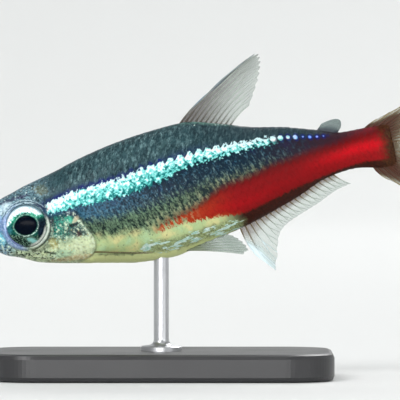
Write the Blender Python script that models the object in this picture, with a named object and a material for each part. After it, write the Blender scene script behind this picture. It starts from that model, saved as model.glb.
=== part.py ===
"""Neon tetra at life size, swimming nose down on a plain display stand.

The fish is modelled in its own frame: X runs from the tip of the snout to the tail, Z is up and
its left side faces -Y. One empty, fish_pose, then tips it into its pose over the stand.
Lengths with no unit are shares of the standard length, from the snout to the base of the tail fin.
"""

import math

import bmesh
import bpy
import numpy as np
from mathutils import Matrix, Vector

MM = 0.001

# Driving dimensions of the fish
STANDARD_LENGTH = 29.5 * MM
PITCH = math.radians(11.6)
TAIL_SWEEP = 0.9 * MM  # how far the base of the tail fin swings to the fish's right
SWEEP_START = 0.45
NOSE_ROUND = 0.075  # length of the rounded nose
GAP = 0.3 * MM  # between pieces that touch

# Stations of the body: along, back, belly, half width, height of the widest point
STATIONS = (
    (0.00, 0.0640, -0.0820, 0.0470, -0.0080),
    (0.06, 0.0690, -0.0840, 0.0530, -0.0080),
    (0.12, 0.0860, -0.1085, 0.0600, -0.0090),
    (0.20, 0.1060, -0.1275, 0.0690, -0.0130),
    (0.28, 0.1280, -0.1425, 0.0745, -0.0200),
    (0.36, 0.1445, -0.1575, 0.0770, -0.0230),
    (0.44, 0.1550, -0.1620, 0.0755, -0.0210),
    (0.53, 0.1605, -0.1440, 0.0700, -0.0120),
    (0.62, 0.1400, -0.1265, 0.0600, -0.0010),
    (0.70, 0.1150, -0.1040, 0.0490, 0.0050),
    (0.78, 0.0985, -0.0770, 0.0380, 0.0090),
    (0.85, 0.0775, -0.0485, 0.0290, 0.0110),
    (0.92, 0.0580, -0.0385, 0.0215, 0.0090),
    (1.00, 0.0575, -0.0520, 0.0125, 0.0030),
)
HEAD_FULLNESS, TAIL_FULLNESS = 2.35, 2.0  # superellipse exponents of the sections

# Gill cover and the gill slit behind it
GILL_CENTRE = (0.200, -0.056)
GILL_REACH = (0.066, 0.074)
GILL_TOP, GILL_FOOT = math.radians(52), math.radians(-76)
GILL_FOOT_POINT = (0.194, -0.1235)
GILL_FRONT = 0.074  # how far its front edge keeps from the middle of the eye
GILL_RISE = 0.10 * MM
GILL_THICKNESS = 0.55 * MM
NAPE = 0.226  # where the slit's line meets the back
VENT = 0.617  # the cut between trunk and tail

# Eyes, mouth and nostrils
EYE_CENTRE = (0.108, -0.012)
EYE_RADIUS = 0.0515
EYE_RIM, EYE_DOME, EYE_DEPTH = 0.0520, 0.0150, 0.0330  # from the midline; out; in
EYE_TURN = math.radians(8)  # how far the eyes look forward
MOUTH_LINE = ((-0.030, -0.004), (0.006, -0.011), (0.026, -0.026), (0.043, -0.046))
MOUTH_DEPTH, MOUTH_WIDTH = 0.42 * MM, 0.20 * MM
LIP_RISE, LIP_REACH = 0.12 * MM, 0.30 * MM
NOSTRILS = ((0.040, 0.036, 0.17 * MM), (0.054, 0.040, 0.21 * MM))  # along, height, radius

# Fins: thickness of the membrane, height of a ray above it, how deep a root is sunk
MEMBRANE, RAY_RISE, ROOT_SUNK = 0.50 * MM, 0.09 * MM, 0.75 * MM
EDGE_THICKNESS = 0.22 * MM
FIN_ROWS = 7

# Display stand
BASE_LENGTH, BASE_WIDTH, BASE_HEIGHT = 25 * MM, 14 * MM, 2 * MM
BASE_CORNER, BASE_BEVEL = 3.5 * MM, 0.35 * MM
ROD_RADIUS, ROD_FOOT_RADIUS, ROD_FOOT_HEIGHT = 0.55 * MM, 1.5 * MM, 0.5 * MM
ROD_ALONG = 0.415  # where the rod meets the belly
BELLY_HEIGHT = 8.6 * MM  # of the belly above the table, at the rod

# How finely the body is divided
AROUND, NOSE_RINGS, BODY_RINGS = 36, 10, 62


def clear_scene():
    for obj in list(bpy.data.objects):
        bpy.data.objects.remove(obj, do_unlink=True)


def material(name, colour, roughness, metallic=0.0):
    made = bpy.data.materials.new(name)
    made.use_nodes = True
    shader = made.node_tree.nodes["Principled BSDF"]
    shader.inputs["Base Color"].default_value = (*colour, 1.0)
    shader.inputs["Roughness"].default_value = roughness
    shader.inputs["Metallic"].default_value = metallic
    return made


def smooth_step(low, high, value):
    share = np.clip((value - low) / (high - low), 0, 1)
    return share * share * (3 - 2 * share)


def spline(xs, ys, x):
    """Monotone cubic through the points (xs, ys), so that it never overshoots them."""
    xs, ys, x = np.asarray(xs), np.asarray(ys), np.asarray(x, float)
    step = np.diff(xs)
    slope = np.diff(ys) / step
    tangent = np.empty_like(ys)
    tangent[0], tangent[-1] = slope[0], slope[-1]
    for i in range(1, len(xs) - 1):
        before, after = slope[i - 1], slope[i]
        if before * after <= 0:
            tangent[i] = 0.0
        else:
            near, far = 2 * step[i] + step[i - 1], step[i] + 2 * step[i - 1]
            tangent[i] = (near + far) / (near / before + far / after)
    i = np.clip(np.searchsorted(xs, x) - 1, 0, len(xs) - 2)
    t = (x - xs[i]) / step[i]
    return (
        (1 + 2 * t) * (1 - t) ** 2 * ys[i]
        + t * (1 - t) ** 2 * step[i] * tangent[i]
        + t * t * (3 - 2 * t) * ys[i + 1]
        + t * t * (t - 1) * step[i] * tangent[i + 1]
    )


def station(along):
    """Back, belly, half width and widest height of the body at a share of its length, in metres."""
    columns = np.array(STATIONS).T
    inner = min(max(along, 0.0), 1.0)
    values = [float(spline(columns[0], column, inner)) for column in columns[1:]]
    nose = math.sqrt(max(0.0, 1 - max(0.0, 1 - inner / NOSE_ROUND) ** 2))
    back, belly, half, widest = (v * STANDARD_LENGTH for v in values)
    return back * nose, belly * nose, half * nose, widest * nose


def sweep(x):
    """How far the body's middle has swung sideways at x, in metres."""
    past = max(0.0, x / STANDARD_LENGTH - SWEEP_START) / (1 - SWEEP_START)
    return TAIL_SWEEP * past * past


def gill_edge(steps=12):
    """Rear edge of the gill cover in side view, from its top corner to its foot, as shares."""
    return [
        (
            GILL_CENTRE[0] + GILL_REACH[0] * math.cos(angle),
            GILL_CENTRE[1] + GILL_REACH[1] * math.sin(angle),
        )
        for angle in np.linspace(GILL_TOP, GILL_FOOT, steps)
    ]


def line_distance(point, line):
    """Distance from a point to a polyline, and the height above it, in the units given."""
    best, above = math.inf, 0.0
    p = Vector(point)
    for start, end in zip(line, line[1:]):
        a, b = Vector(start), Vector(end)
        share = min(1.0, max(0.0, (p - a).dot(b - a) / (b - a).length_squared))
        offset = p - a.lerp(b, share)
        if offset.length < best:
            best, above = offset.length, offset.y
    return best, above


def relief(x, z):
    """How far the skin stands proud of the plain body at a point of the side view, in metres."""
    along, height = x / STANDARD_LENGTH, z / STANDARD_LENGTH
    across = math.hypot(
        (along - GILL_CENTRE[0]) / GILL_REACH[0], (height - GILL_CENTRE[1]) / GILL_REACH[1]
    )
    from_eye = math.dist((along, height), EYE_CENTRE)
    gill = (1 - smooth_step(0.95, 1.2, across)) * smooth_step(
        GILL_FRONT - 0.008, GILL_FRONT + 0.02, from_eye
    )
    near, _ = line_distance((along, height), MOUTH_LINE)
    lip = 1 - smooth_step(0.2, 1.0, near * STANDARD_LENGTH / LIP_REACH)
    return float(GILL_RISE * gill + LIP_RISE * lip)


def section_point(along, angle, grow):
    """A point of the body's skin, angle 0 on its right side and a quarter turn on its back."""
    back, belly, half, widest = station(along)
    x = along * STANDARD_LENGTH
    fullness = HEAD_FULLNESS + (TAIL_FULLNESS - HEAD_FULLNESS) * min(1.0, along / 0.4)
    cosine, sine = math.cos(angle), math.sin(angle)
    reach = back - widest if sine > 0 else widest - belly
    y = math.copysign(abs(cosine) ** (2 / fullness), cosine)
    z = math.copysign(abs(sine) ** (2 / fullness), sine)
    proud = grow + relief(x, widest + reach * z) if along > 0 else 0.0
    return Vector((x, (half + proud) * y + sweep(x), widest + (reach + proud) * z))


def body_mesh(name, grow=0.0, around=AROUND, nose_rings=NOSE_RINGS, body_rings=BODY_RINGS):
    """The whole body as one closed loft, grown outwards all over by grow."""
    start = NOSE_ROUND * (1 - np.cos(np.linspace(0, math.pi / 2, nose_rings + 1)[1:]))
    alongs = list(start) + list(np.linspace(NOSE_ROUND, 1.0, body_rings + 1)[1:])
    bm = bmesh.new()
    rings = []
    for along in alongs:
        push = Vector((grow * (2 * along - 1), 0, 0))
        angles = np.linspace(0, math.tau, around, endpoint=False)
        rings.append([bm.verts.new(section_point(along, a, grow) + push) for a in angles])
    nose = bm.verts.new((-grow, 0, 0))
    for i in range(around):
        bm.faces.new((nose, rings[0][i], rings[0][i - 1]))
    join_rings(bm, rings)
    bm.faces.new(rings[-1])
    return finish_mesh(name, bm)


def core_cutter(name, depth, start, end, around=28, rings=26):
    """A cutter: the inside of the body from start to end, depth under its skin."""
    bm = bmesh.new()
    made = []
    for along in np.linspace(start, end, rings):
        angles = np.linspace(0, math.tau, around, endpoint=False)
        made.append([bm.verts.new(section_point(along, a, -depth)) for a in angles])
    bm.faces.new(made[0])
    join_rings(bm, made)
    bm.faces.new(made[-1])
    return fish_object(name, finish_mesh(name, bm))


def join_rings(bm, rings):
    for near, far in zip(rings, rings[1:]):
        for i in range(len(near)):
            bm.faces.new((near[i - 1], near[i], far[i], far[i - 1]))


def finish_mesh(name, bm):
    bmesh.ops.recalc_face_normals(bm, faces=bm.faces)
    mesh = bpy.data.meshes.new(name)
    bm.to_mesh(mesh)
    bm.free()
    return mesh


def fish_object(name, mesh, look=None):
    """An object of the fish's own frame. One without a material is a cutter."""
    obj = bpy.data.objects.new(name, mesh)
    bpy.context.scene.collection.objects.link(obj)
    if look:
        obj.parent = bpy.data.objects["fish_pose"]
        obj.data.materials.append(look)
    else:
        obj.parent = bpy.data.objects["fish_pose"]
        obj.hide_render = True
        obj.display_type = "WIRE"
    return obj


def boolean(obj, operation, other):
    modifier = obj.modifiers.new(f"{operation.lower()}_{other.name}", "BOOLEAN")
    modifier.operation = operation
    modifier.object = other
    modifier.solver = "EXACT"


def keep_largest(obj):
    """Applies the object's modifiers and keeps only the largest closed surface of the result."""
    bpy.context.view_layer.update()
    graph = bpy.context.evaluated_depsgraph_get()
    mesh = bpy.data.meshes.new_from_object(obj.evaluated_get(graph))
    bm = bmesh.new()
    bm.from_mesh(mesh)
    unseen, pieces = set(bm.verts), []
    while unseen:
        piece, edge_of_search = set(), [unseen.pop()]
        while edge_of_search:
            vert = edge_of_search.pop()
            piece.add(vert)
            linked = {edge.other_vert(vert) for edge in vert.link_edges} & unseen
            unseen -= linked
            edge_of_search.extend(linked)
        pieces.append(piece)
    largest = max(pieces, key=len)
    loose = [v for piece in pieces if piece is not largest for v in piece]
    bmesh.ops.delete(bm, geom=loose, context="VERTS")
    bmesh.ops.dissolve_degenerate(bm, dist=0.002 * MM, edges=bm.edges)
    bmesh.ops.triangulate(bm, faces=bm.faces)
    bm.to_mesh(mesh)
    bm.free()
    obj.modifiers.clear()
    obj.data = mesh
    mesh.shade_smooth()
    mesh.set_sharp_from_angle(angle=math.radians(40))


def prism(name, outline, low_y, high_y):
    """A cutter: a side-view outline, in shares, pushed through from low_y to high_y."""
    bm = bmesh.new()
    ends = []
    for y in (low_y, high_y):
        ends.append(
            [bm.verts.new((x * STANDARD_LENGTH, y, z * STANDARD_LENGTH)) for x, z in outline]
        )
    bm.faces.new(ends[0])
    bm.faces.new(ends[1])
    for i in range(len(outline)):
        bm.faces.new((ends[0][i - 1], ends[0][i], ends[1][i], ends[1][i - 1]))
    return fish_object(name, finish_mesh(name, bm))


def slit_line():
    """The line of the gill slit in side view, from above the nape to below the throat."""
    edge = gill_edge()
    return [(NAPE, 0.3), (NAPE, 0.06), *edge, (edge[-1][0] - 0.012, -0.3)]


def shifted(line, by):
    return [(x + by, z) for x, z in line]


def eye_profile(grow):
    """Half outline of the eye's round body: distance from its axis and how far out, in metres."""
    radius = EYE_RADIUS * STANDARD_LENGTH + grow
    dome = EYE_DOME * STANDARD_LENGTH + grow
    depth = EYE_DEPTH * STANDARD_LENGTH + grow
    outer = [
        (radius * math.cos(a), dome * math.sin(a))
        for a in np.linspace(math.pi / 2, 0, 7)
    ]
    inner = [
        (radius * math.cos(a), -depth * math.sin(a))
        for a in np.linspace(0, math.pi / 2, 6)[1:]
    ]
    return outer + inner


def eye_mesh(name, side, grow=0.0, around=28):
    """An eye as a solid of revolution about an axis that looks sideways and a little forward."""
    bm = bmesh.new()
    rings = []
    for radius, out in eye_profile(grow):
        count = 1 if radius < 1e-7 else around
        rings.append(
            [
                bm.verts.new(
                    (radius * math.cos(math.tau * i / around), side * out,
                     radius * math.sin(math.tau * i / around))
                )
                for i in range(count)
            ]
        )
    for near, far in zip(rings, rings[1:]):
        for i in range(around):
            quad = [near[i % len(near)], near[(i + 1) % len(near)],
                    far[(i + 1) % len(far)], far[i % len(far)]]
            bm.faces.new(list(dict.fromkeys(quad)))
    turn = Matrix.Rotation(side * EYE_TURN, 4, "Z")
    centre = Vector((EYE_CENTRE[0], side * EYE_RIM, EYE_CENTRE[1])) * STANDARD_LENGTH
    bmesh.ops.transform(bm, matrix=Matrix.Translation(centre) @ turn, verts=bm.verts)
    return finish_mesh(name, bm)


def ball_cutter(name, centre, radius):
    bm = bmesh.new()
    bmesh.ops.create_uvsphere(bm, u_segments=8, v_segments=6, radius=radius)
    bmesh.ops.translate(bm, vec=centre, verts=bm.verts)
    return fish_object(name, finish_mesh(name, bm))


def fin_mesh(name, rays, place, membrane=MEMBRANE, ray_rise=RAY_RISE, rows=FIN_ROWS):
    """A fin as one closed blade. Each ray is (root, tip, bow) in the fin's own plane, in metres,
    and stands as a ridge on the membrane. place turns (u, v, offset) into a point of the fish."""
    columns = []
    for i, (root, tip, bow) in enumerate(rays):
        columns.append((root, tip, bow, 1.0))
        if i + 1 < len(rays):
            next_root, next_tip, next_bow = rays[i + 1]
            notch = 0.04 * (tip - root).length
            between = tip.lerp(next_tip, 0.5)
            inward = (root.lerp(next_root, 0.5) - between).normalized() * notch
            columns.append(
                (root.lerp(next_root, 0.5), between + inward, (bow + next_bow) / 2, 0.0)
            )
    bm = bmesh.new()
    sides = {1: [], -1: []}
    for root, tip, bow, on_ray in columns:
        axis = tip - root
        across = Vector((-axis.y, axis.x))
        sunk = -ROOT_SUNK / axis.length
        strips = {1: [], -1: []}
        for share in [sunk, *np.linspace(0.0, 1.0, rows)]:
            flat = root + axis * share + across * (bow * 4 * share * (1 - share))
            end = smooth_step(0.80, 1.0, share)
            half = membrane / 2 * (1 - end) + EDGE_THICKNESS / 2 * end
            half += on_ray * ray_rise * (1 - 0.75 * float(np.clip(share, 0, 1)))
            for side in (1, -1):
                strips[side].append(bm.verts.new(place(flat.x, flat.y, side * half)))
        for side in (1, -1):
            sides[side].append(strips[side])
    last_row, last = rows, len(columns) - 1
    for side in (1, -1):
        grid = sides[side]
        for c in range(last):
            for r in range(last_row):
                a, b = grid[c][r], grid[c + 1][r]
                d, e = grid[c + 1][r + 1], grid[c][r + 1]
                bm.faces.new((a, b, d))
                bm.faces.new((a, d, e))
    right, left = sides[1], sides[-1]
    for c in range(last):
        for r in (0, last_row):
            bm.faces.new((right[c][r], right[c + 1][r], left[c + 1][r], left[c][r]))
    for r in range(last_row):
        for c in (0, last):
            bm.faces.new((right[c][r], right[c][r + 1], left[c][r + 1], left[c][r]))
    bmesh.ops.triangulate(bm, faces=[f for f in bm.faces if len(f.verts) > 3])
    return finish_mesh(name, bm)


def on_midline(u, v, offset):
    """Places a fin's plane upright along the fish's middle, following the sweep of its tail."""
    return Vector((u, offset + sweep(u), v))


def fan(count, root_at, length_at, angle_at, bow, leading_short=()):
    """Rays of a fin: roots, lengths and angles follow rules over the share from first to last.
    leading_short gives the first rays' lengths as shares of what the rule says."""
    rays = []
    for i in range(count):
        share = i / (count - 1)
        root = Vector(root_at(share))
        length = length_at(share)
        if i < len(leading_short):
            length *= leading_short[i]
        angle = angle_at(share)
        rays.append((root, root + Vector((math.cos(angle), math.sin(angle))) * length, bow))
    return rays


def back_height(along):
    return station(along)[0]


def belly_height(along):
    return station(along)[1]


def dorsal_rays():
    first, last = 0.531, 0.650
    longest, shortest = 7.3 * MM, 1.9 * MM

    def root_at(share):
        along = first + (last - first) * share
        return along * STANDARD_LENGTH, back_height(along)

    def length_at(share):
        return longest - (longest - shortest) * share**1.7

    def angle_at(share):
        return math.radians(33 + 1.5 * share)

    return fan(11, root_at, length_at, angle_at, 0.05, leading_short=(0.5, 0.97))


def anal_rays():
    first, last = 0.622, 0.874
    longest, shortest = 4.65 * MM, 1.35 * MM

    def root_at(share):
        along = first + (last - first) * share
        return along * STANDARD_LENGTH, belly_height(along)

    def length_at(share):
        return shortest + (longest - shortest) * math.exp(-((share / 0.135) ** 1.6))

    def angle_at(share):
        return math.radians(-38 - 33 * math.exp(-((share / 0.22) ** 1.5)))

    return fan(20, root_at, length_at, angle_at, -0.05, leading_short=(0.5, 0.97))


def caudal_rays(up):
    """One lobe of the tail fin, from its outer edge to its middle ray. up is 1 or -1."""
    outer, inner = 0.0545, 0.0060
    start, end = 0.978, 1.0
    longest, middle = 7.4 * MM, 3.6 * MM
    middle_height = 0.0030 * STANDARD_LENGTH
    outer_angle, inner_angle = (28, -4) if up > 0 else (-49, -12)

    def root_at(share):
        settled = min(1.0, share / 0.25)
        height = outer + (inner - outer) * share
        x = (start + (end - start) * settled) * STANDARD_LENGTH
        return x, middle_height + up * height * STANDARD_LENGTH

    def length_at(share):
        main = max(0.0, (share - 0.2) / 0.8)
        return middle + (longest - middle) * (1 - main) ** 1.3

    def angle_at(share):
        return math.radians(inner_angle + (outer_angle - inner_angle) * (1 - share) ** 0.85)

    bow, short = (0.02, (0.12, 0.30, 0.66)) if up > 0 else (-0.06, (0.16, 0.40, 0.74))
    return fan(12, root_at, length_at, angle_at, bow, leading_short=short)


def paired_place(side, root, out_turn, down_turn, roll, cup):
    """Places a paired fin: its own u runs back from the root, swung out from the flank and down,
    and its v runs inward across the rays, rolled about u. side is -1 on the fish's left."""
    back = Vector((1, 0, 0))
    back.rotate(Matrix.Rotation(down_turn, 3, "Y"))
    back.rotate(Matrix.Rotation(side * out_turn, 3, "Z"))
    inward = Vector((0, -side, 0))
    inward = (inward - back * inward.dot(back)).normalized()
    inward.rotate(Matrix.Rotation(side * roll, 3, back))
    normal = back.cross(inward) * side
    origin = Vector(root)

    def place(u, v, offset):
        lift = cup * v * v / (4 * MM)
        return origin + back * u + inward * v + normal * (offset + lift)

    return place


def pectoral_rays():
    root_width, longest, shortest = 1.0 * MM, 5.2 * MM, 1.9 * MM

    def root_at(share):
        return 0.0, root_width * share

    def length_at(share):
        return longest - (longest - shortest) * share**1.2

    def angle_at(share):
        return math.radians(-4 + 30 * share)

    return fan(11, root_at, length_at, angle_at, 0.02, leading_short=(0.86,))


def pelvic_rays():
    root_width, longest, shortest = 0.75 * MM, 4.5 * MM, 2.3 * MM

    def root_at(share):
        return 0.0, root_width * share

    def length_at(share):
        return longest - (longest - shortest) * share**1.5

    def angle_at(share):
        return math.radians(-3 + 24 * share)

    return fan(8, root_at, length_at, angle_at, 0.02, leading_short=(0.9,))


def flank_point(side, along, height):
    """A point on the flank at a share of the length and a height in metres."""
    back, belly, half, widest = station(along)
    reach = (back - widest) if height > widest else (widest - belly)
    fullness = HEAD_FULLNESS + (TAIL_FULLNESS - HEAD_FULLNESS) * min(1.0, along / 0.4)
    share = min(1.0, abs(height - widest) / reach)
    x = along * STANDARD_LENGTH
    return Vector((x, side * half * (1 - share**fullness) ** (1 / fullness) + sweep(x), height))


def adipose_mesh():
    """The small fleshy fin on the back: a rounded lobe that leans to the rear."""
    start, end, height = 0.858, 0.905, 0.75 * MM
    steps = 9
    lean = 0.9 * MM
    outline = []
    for share in np.linspace(0, 1, steps):
        along = start + (end - start) * share
        rise = height * math.sin(math.pi * min(1.0, 0.12 + 0.80 * share)) ** 0.7
        shift = lean * (rise / height) ** 1.3
        outline.append(
            (Vector((along * STANDARD_LENGTH, back_height(along))), Vector((shift, rise)))
        )
    rays = [(root, root + lift, 0.0) for root, lift in outline]
    return fin_mesh("adipose_fin", rays, on_midline, ray_rise=0.0, rows=4)


def build_fish(looks):
    pose = bpy.data.objects.new("fish_pose", None)
    bpy.context.scene.collection.objects.link(pose)
    pose.rotation_euler = (0, -PITCH, 0)
    rod_x, rod_z = ROD_ALONG * STANDARD_LENGTH, belly_height(ROD_ALONG)
    pose.location = (
        -(rod_x * math.cos(PITCH) - rod_z * math.sin(PITCH)),
        0,
        BELLY_HEIGHT - (rod_x * math.sin(PITCH) + rod_z * math.cos(PITCH)),
    )

    room = fish_object("room_round_body", body_mesh("room_round_body", GAP, 28, 8, 40))
    gill_core = core_cutter("gill_core", GILL_THICKNESS, 0.06, 0.42)
    seat_core = core_cutter("seat_core", GILL_THICKNESS + GAP, 0.06, 0.42)
    mouth_core = core_cutter("mouth_core", MOUTH_DEPTH, 0.02, 0.15)

    build_body(looks, gill_core, seat_core, mouth_core)
    build_fins(looks, room)
    return room


def build_body(looks, gill_core, seat_core, mouth_core):
    slit = slit_line()
    wide = 0.3 * STANDARD_LENGTH
    gap_share = GAP / STANDARD_LENGTH
    head_block = prism("head_block", [(-0.1, 0.3), *slit, (-0.1, -0.3)], -wide, wide)
    trunk_outline = [
        *shifted(slit, gap_share), (VENT - gap_share / 2, -0.3), (VENT - gap_share / 2, 0.3)
    ]
    trunk_block = prism("trunk_block", trunk_outline, -wide, wide)
    tail_front = VENT + gap_share / 2
    tail_outline = [(tail_front, 0.3), (tail_front, -0.3), (1.1, -0.3), (1.1, 0.3)]
    tail_block = prism("tail_block", tail_outline, -wide, wide)

    for name, block in (("trunk", trunk_block), ("tail_stalk", tail_block)):
        piece = fish_object(name, body_mesh(name), looks[name])
        boolean(piece, "INTERSECT", block)
        keep_largest(piece)

    head = fish_object("head", body_mesh("head"), looks["head"])
    boolean(head, "INTERSECT", head_block)
    for side, word in ((-1, "left"), (1, "right")):
        low, high = sorted((side * 0.1 * MM, side * wide))
        cover = fish_object(f"gill_cover_{word}", body_mesh("gill_cover"), looks["head"])
        boolean(cover, "INTERSECT", prism(f"cover_block_{word}", cover_outline(0.0), low, high))
        boolean(cover, "DIFFERENCE", gill_core)
        keep_largest(cover)
        seat = prism(f"cover_seat_{word}", cover_outline(gap_share), low, high)
        boolean(seat, "DIFFERENCE", seat_core)
        boolean(head, "DIFFERENCE", seat)
        socket = fish_object(f"socket_{word}", eye_mesh(f"socket_{word}", side, GAP))
        boolean(head, "DIFFERENCE", socket)
        eye_name = f"eye_{word}"
        eye = fish_object(eye_name, eye_mesh(eye_name, side), looks["eye"])
        keep_largest(eye)
        for i, (along, height, radius) in enumerate(NOSTRILS):
            centre = flank_point(side, along, height * STANDARD_LENGTH)
            boolean(head, "DIFFERENCE", ball_cutter(f"nostril_{word}_{i}", centre, radius))
    mouth = prism("mouth_line", mouth_outline(), -wide, wide)
    boolean(mouth, "DIFFERENCE", mouth_core)
    boolean(head, "DIFFERENCE", mouth)
    keep_largest(head)


def cover_outline(grow):
    """Outline of the gill cover in side view, in shares. Its seat is grown by grow at the front
    and runs on past the slit at the rear."""
    rear, foot = gill_edge(), [GILL_FOOT_POINT]
    reach = GILL_FRONT - grow
    front = [
        (EYE_CENTRE[0] + reach * math.cos(a), EYE_CENTRE[1] + reach * math.sin(a))
        for a in np.linspace(math.radians(-66), math.radians(8), 9)
    ]
    if grow:
        past = 0.05
        low = [(x - 0.62 * grow, z - 0.80 * grow) for x, z in (GILL_FOOT_POINT, cover_corner())]
        foot = [(rear[-1][0] + past, GILL_FOOT_POINT[1] - 0.03), *low]
        rear = [(rear[0][0] + past, rear[0][1] + grow)]
        front[-1] = (front[-1][0], front[-1][1] + grow)
    return rear + foot + front


def cover_corner():
    """The low front corner of the gill cover."""
    angle = math.radians(-66)
    return (
        EYE_CENTRE[0] + GILL_FRONT * math.cos(angle),
        EYE_CENTRE[1] + GILL_FRONT * math.sin(angle),
    )


def mouth_outline():
    """A thin wedge along the line of the mouth, closing to a point at its corner."""
    half = MOUTH_WIDTH / 2 / STANDARD_LENGTH
    upper = [(x, z + half) for x, z in MOUTH_LINE[:-1]]
    lower = [(x, z - half) for x, z in MOUTH_LINE[:-1]]
    return upper + [MOUTH_LINE[-1]] + lower[::-1]


def build_fins(looks, room):
    fins = [
        ("dorsal_fin", fin_mesh("dorsal_fin", dorsal_rays(), on_midline)),
        ("adipose_fin", adipose_mesh()),
        ("anal_fin", fin_mesh("anal_fin", anal_rays(), on_midline)),
        ("caudal_fin_upper", fin_mesh("caudal_fin_upper", caudal_rays(1), on_midline)),
        ("caudal_fin_lower", fin_mesh("caudal_fin_lower", caudal_rays(-1), on_midline)),
    ]
    for side, word in ((-1, "left"), (1, "right")):
        shoulder = flank_point(side, 0.268, -3.25 * MM)
        place = paired_place(
            side, shoulder, math.radians(36), math.radians(9), math.radians(12), 0.25 * MM
        )
        fins.append(
            (f"pectoral_fin_{word}", fin_mesh("pectoral", pectoral_rays(), place, rows=6))
        )
        hip = flank_point(side, 0.487, -4.45 * MM)
        place = paired_place(
            side, hip, math.radians(11), math.radians(13), math.radians(-58), 0.15 * MM
        )
        fins.append((f"pelvic_fin_{word}", fin_mesh("pelvic", pelvic_rays(), place, rows=6)))
    for name, mesh in fins:
        fin = fish_object(name, mesh, looks["fin"])
        boolean(fin, "DIFFERENCE", room)
        keep_largest(fin)


def build_stand(looks, room):
    base = bpy.data.objects.new("stand_base", base_mesh())
    bpy.context.scene.collection.objects.link(base)
    base.data.materials.append(looks["stand_base"])
    bevel = base.modifiers.new("edge", "BEVEL")
    bevel.width = BASE_BEVEL
    bevel.segments = 2
    bevel.limit_method = "ANGLE"
    keep_largest(base)
    rod = bpy.data.objects.new("stand_rod", rod_mesh())
    bpy.context.scene.collection.objects.link(rod)
    rod.data.materials.append(looks["stand_rod"])
    boolean(rod, "DIFFERENCE", room)
    keep_largest(rod)


def base_mesh():
    """A flat plate with rounded corners, its underside on the table."""
    bm = bmesh.new()
    corners = []
    for cx, cy, start in ((1, 1, 0), (-1, 1, 90), (-1, -1, 180), (1, -1, 270)):
        for turn in np.linspace(start, start + 90, 19):
            corners.append(
                (
                    cx * (BASE_LENGTH / 2 - BASE_CORNER)
                    + BASE_CORNER * math.cos(math.radians(turn)),
                    cy * (BASE_WIDTH / 2 - BASE_CORNER)
                    + BASE_CORNER * math.sin(math.radians(turn)),
                )
            )
    floor = [bm.verts.new((x, y, 0)) for x, y in corners]
    bm.faces.new(floor)
    made = bmesh.ops.extrude_face_region(bm, geom=bm.faces[:])
    top = [v for v in made["geom"] if isinstance(v, bmesh.types.BMVert)]
    bmesh.ops.translate(bm, vec=(0, 0, BASE_HEIGHT), verts=top)
    return finish_mesh("stand_base", bm)


def rod_mesh():
    """A round rod on a small foot, long enough to be trimmed to the belly."""
    profile = [
        (0.0, 0.0),
        (ROD_FOOT_RADIUS, 0.0),
        (ROD_FOOT_RADIUS, 0.6 * ROD_FOOT_HEIGHT),
        (ROD_FOOT_RADIUS - 0.4 * ROD_FOOT_HEIGHT, ROD_FOOT_HEIGHT),
        (ROD_RADIUS + 0.1 * MM, ROD_FOOT_HEIGHT),
        (ROD_RADIUS, ROD_FOOT_HEIGHT + 0.15 * MM),
        (ROD_RADIUS, BELLY_HEIGHT),
        (0.0, BELLY_HEIGHT),
    ]
    around = 20
    bm = bmesh.new()
    rings = []
    for radius, z in profile:
        count = 1 if radius == 0 else around
        rings.append(
            [
                bm.verts.new(
                    (radius * math.cos(math.tau * i / around),
                     radius * math.sin(math.tau * i / around),
                     BASE_HEIGHT + GAP + z)
                )
                for i in range(count)
            ]
        )
    for near, far in zip(rings, rings[1:]):
        for i in range(around):
            quad = [near[i % len(near)], near[(i + 1) % len(near)],
                    far[(i + 1) % len(far)], far[i % len(far)]]
            bm.faces.new(list(dict.fromkeys(quad)))
    return finish_mesh("stand_rod", bm)


def main():
    clear_scene()
    looks = {
        "head": material("head_skin", (0.20, 0.26, 0.25), 0.35, 0.2),
        "trunk": material("trunk_skin", (0.16, 0.23, 0.24), 0.35, 0.2),
        "tail_stalk": material("tail_skin", (0.45, 0.03, 0.03), 0.40),
        "eye": material("eye", (0.01, 0.015, 0.02), 0.08),
        "fin": material("fin_membrane", (0.42, 0.50, 0.46), 0.30),
        "stand_base": material("stand_base", (0.03, 0.03, 0.032), 0.35),
        "stand_rod": material("stand_rod", (0.62, 0.62, 0.63), 0.25, 1.0),
    }
    room = build_fish(looks)
    build_stand(looks, room)


main()
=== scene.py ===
"""Neon tetra on a display stand: the finished surfaces over the fixed frame.

The fish is shaped in its own frame, with X from the snout to the tail, Z up and its left side at
-Y, and is then tipped into its pose. A length is in metres, or a share of the standard length
where its name or comment says so. Patterns are painted in millimetres of that same frame.
"""

import math
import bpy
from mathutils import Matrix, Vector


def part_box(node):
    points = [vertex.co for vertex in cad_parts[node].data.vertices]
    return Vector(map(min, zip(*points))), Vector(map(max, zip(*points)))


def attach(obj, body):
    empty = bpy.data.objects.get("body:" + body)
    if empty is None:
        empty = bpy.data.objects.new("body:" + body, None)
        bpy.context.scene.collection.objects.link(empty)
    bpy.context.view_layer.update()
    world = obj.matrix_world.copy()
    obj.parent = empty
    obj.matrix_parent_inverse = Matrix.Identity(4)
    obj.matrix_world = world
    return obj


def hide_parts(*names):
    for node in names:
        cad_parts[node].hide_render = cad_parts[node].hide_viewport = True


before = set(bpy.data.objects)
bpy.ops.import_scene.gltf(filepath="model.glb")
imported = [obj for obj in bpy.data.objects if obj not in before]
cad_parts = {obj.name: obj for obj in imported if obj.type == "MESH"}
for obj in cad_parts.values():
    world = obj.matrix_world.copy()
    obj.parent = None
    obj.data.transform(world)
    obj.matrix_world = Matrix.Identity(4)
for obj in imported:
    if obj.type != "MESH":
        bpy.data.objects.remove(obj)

from types import SimpleNamespace

import bmesh
import bpy
import numpy as np
from mathutils import Vector
from mathutils.kdtree import KDTree

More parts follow.
